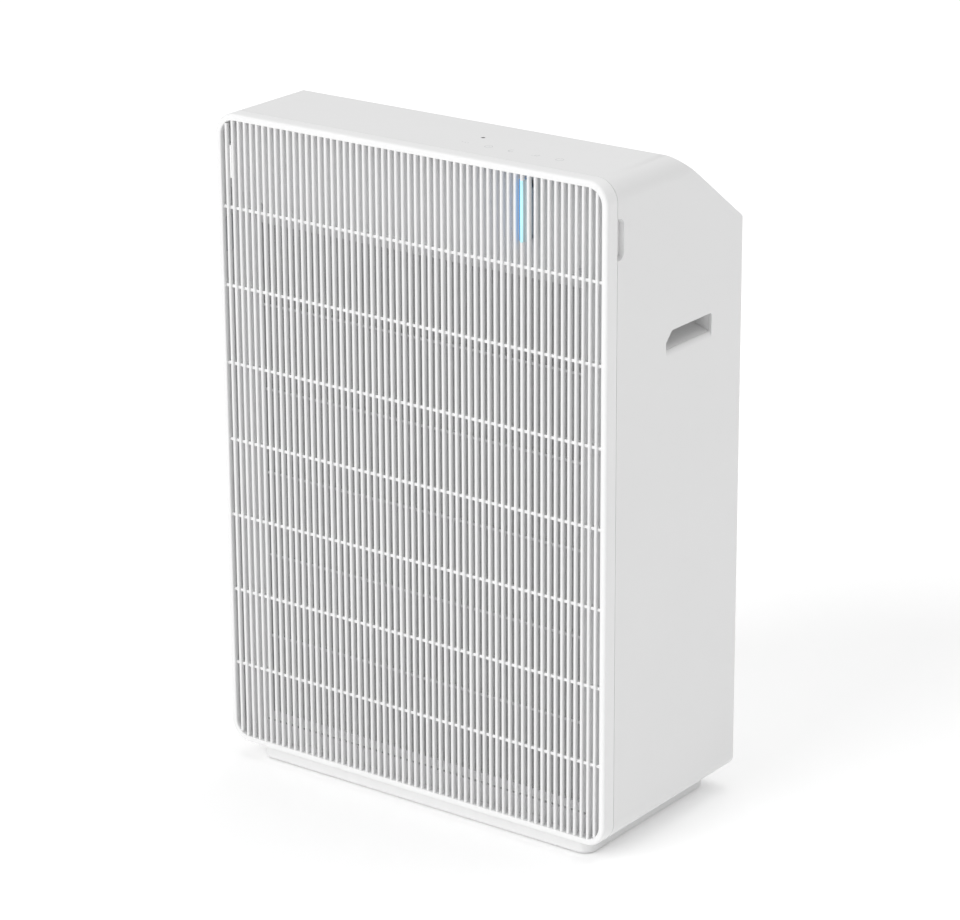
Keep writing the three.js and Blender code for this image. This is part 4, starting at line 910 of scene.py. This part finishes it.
def carbon_core():
    """A honeycomb grid in front of packed granules, both in the carbon finish."""
    low, high = span("carbon_core")
    mesh = bmesh.new()
    slab(mesh, low.x, high.x, low.y + 2.5, high.y, low.z, high.z)
    rows = math.floor((high.z - low.z) / (CELL * 0.866))
    columns = math.floor((high.x - low.x) / CELL) - 1
    for row in range(rows):
        z = low.z + CELL / 2 + row * CELL * 0.866
        for column in range(columns):
            x = low.x + CELL / 2 + column * CELL + (row % 2) * CELL / 2
            loops = []
            for radius, depth in ((CELL * 0.577, low.y), (CELL * 0.52, low.y), (CELL * 0.52, low.y + 2.6)):
                angles = [math.radians(30 + 60 * k) for k in range(6)]
                loops.append([
                    mesh.verts.new(Vector((x + radius * math.cos(a), depth, z + radius * math.sin(a))) / 1000)
                    for a in angles
                ])
            bridge(mesh, loops[0], loops[1])
            bridge(mesh, loops[1], loops[2])
    return piece(loose("carbon_honeycomb", mesh), "carbon", "carbon_filter", ["carbon_core"])


def hepa_pleats():
    """Folded paper with rounded folds, held apart by beads of glue across its front."""
    low, high = span("hepa_pleats")
    folds = 4 * round((high.x - low.x) / 2 / PLEAT_PITCH)
    step = (high.x - low.x - PAPER) / folds
    near, far = low.y + PAPER / 2 + FOLD_R, high.y - PAPER / 2 - FOLD_R
    line = []
    for i in range(folds + 1):
        x = low.x + PAPER / 2 + i * step
        base, outward = (near, -1) if i % 2 == 0 else (far, 1)
        for k in range(7):
            angle = math.pi * k / 6
            line.append(Vector((x - FOLD_R * math.cos(angle), base + outward * FOLD_R * math.sin(angle))))
    line[0].x = low.x + PAPER / 2
    line[-1].x = high.x - PAPER / 2
    mesh = bmesh.new()
    sides = [[], []]
    for i, point in enumerate(line):
        along = line[min(i + 1, len(line) - 1)] - line[max(i - 1, 0)]
        out = Vector((-along.y, along.x)).normalized() * PAPER / 2
        for side, offset in zip(sides, (out, -out)):
            place = point + offset
            side.append([
                mesh.verts.new(Vector((place.x, place.y, z)) / 1000) for z in (low.z, high.z)
            ])
    loop = sides[0] + sides[1][::-1]
    for first, second in zip(loop, loop[1:] + loop[:1]):
        mesh.faces.new((first[0], second[0], second[1], first[1]))
    for end in (0, 1):
        for i in range(len(line) - 1):
            quad = [sides[0][i][end], sides[0][i + 1][end], sides[1][i + 1][end], sides[1][i][end]]
            mesh.faces.new(quad)
    for i in range(1, GLUE_BEADS + 1):
        z = low.z + (high.z - low.z) * i / (GLUE_BEADS + 1)
        bead = [(0, low.x), (BEAD_R, low.x), (BEAD_R, high.x), (0, high.x)]
        turned(mesh, bead, Vector((0, low.y + BEAD_R + 0.1, z)), "X", 8)
    return piece(loose("pleated_paper", mesh), "filter_paper", "hepa_filter", ["hepa_pleats"], smooth=50)


prefilter_net()
carbon_core()
hepa_pleats()


# ---------------------------------------------------------------- studio


FLOOR_HALF = 30
LENS_LENGTH = 140.98
LENS_SHIFT = (-0.0155, -0.05)
CAMERA_YAW = 36.187
CAMERA_PITCH = 18.864
CAMERA_ROLL = -0.229
CAMERA_PLACE = (1.8430, -2.4970, 1.4016)


def sun(name, towards, strength, angle):
    """A soft, even light that comes from a direction."""
    lamp = bpy.data.lights.new(name, "SUN")
    lamp.energy = strength
    lamp.angle = math.radians(angle)
    made = bpy.data.objects.new(name, lamp)
    bpy.context.scene.collection.objects.link(made)
    made.rotation_euler = (-Vector(towards)).to_track_quat("-Z", "Y").to_euler()


def studio():
    ground = bmesh.new()
    corners = ((-1, -1), (1, -1), (1, 1), (-1, 1))
    ground.faces.new([ground.verts.new((x * FLOOR_HALF, y * FLOOR_HALF, 0)) for x, y in corners])
    made = loose("studio_floor", ground)
    paint = Finish("studio_floor", (0.94, 0.94, 0.94), 0.8)
    paint.shader.inputs["Emission Color"].default_value = (1, 1, 1, 1)
    paint.shader.inputs["Emission Strength"].default_value = 0.16
    made.data.materials.append(paint.material)

    scene = bpy.context.scene
    scene.view_settings.view_transform = "Standard"
    sky = bpy.data.worlds.new("studio")
    sky.use_nodes = True
    sky.node_tree.nodes["Background"].inputs["Color"].default_value = (1, 1, 1, 1)
    sky.node_tree.nodes["Background"].inputs["Strength"].default_value = 0.5
    scene.world = sky
    sun("key", (-0.3, -0.85, 0.5), 1.4, 40)
    sun("overhead", (0.15, 0.25, 1.0), 1.0, 60)
    sun("right_fill", (1.0, 0.25, 0.1), 0.06, 60)


def camera():
    lens = bpy.data.cameras.new("camera")
    lens.sensor_width = 36
    lens.lens = LENS_LENGTH
    lens.shift_x, lens.shift_y = LENS_SHIFT
    made = bpy.data.objects.new("camera", lens)
    bpy.context.scene.collection.objects.link(made)
    return made


def aim_camera(made, yaw, pitch, roll, place):
    """Yaw turns to the left of +Y, pitch looks down, roll tips the picture, in degrees."""
    yaw, pitch, roll = (math.radians(angle) for angle in (yaw, pitch, roll))
    made.rotation_mode = "QUATERNION"
    turn = Matrix.Rotation(yaw, 3, "Z") @ Matrix.Rotation(math.pi / 2 - pitch, 3, "X")
    made.rotation_quaternion = (turn @ Matrix.Rotation(roll, 3, "Z")).to_quaternion()
    made.location = place


view_camera = camera()
aim_camera(view_camera, CAMERA_YAW, CAMERA_PITCH, CAMERA_ROLL, CAMERA_PLACE)
bpy.context.scene.camera = view_camera
studio()
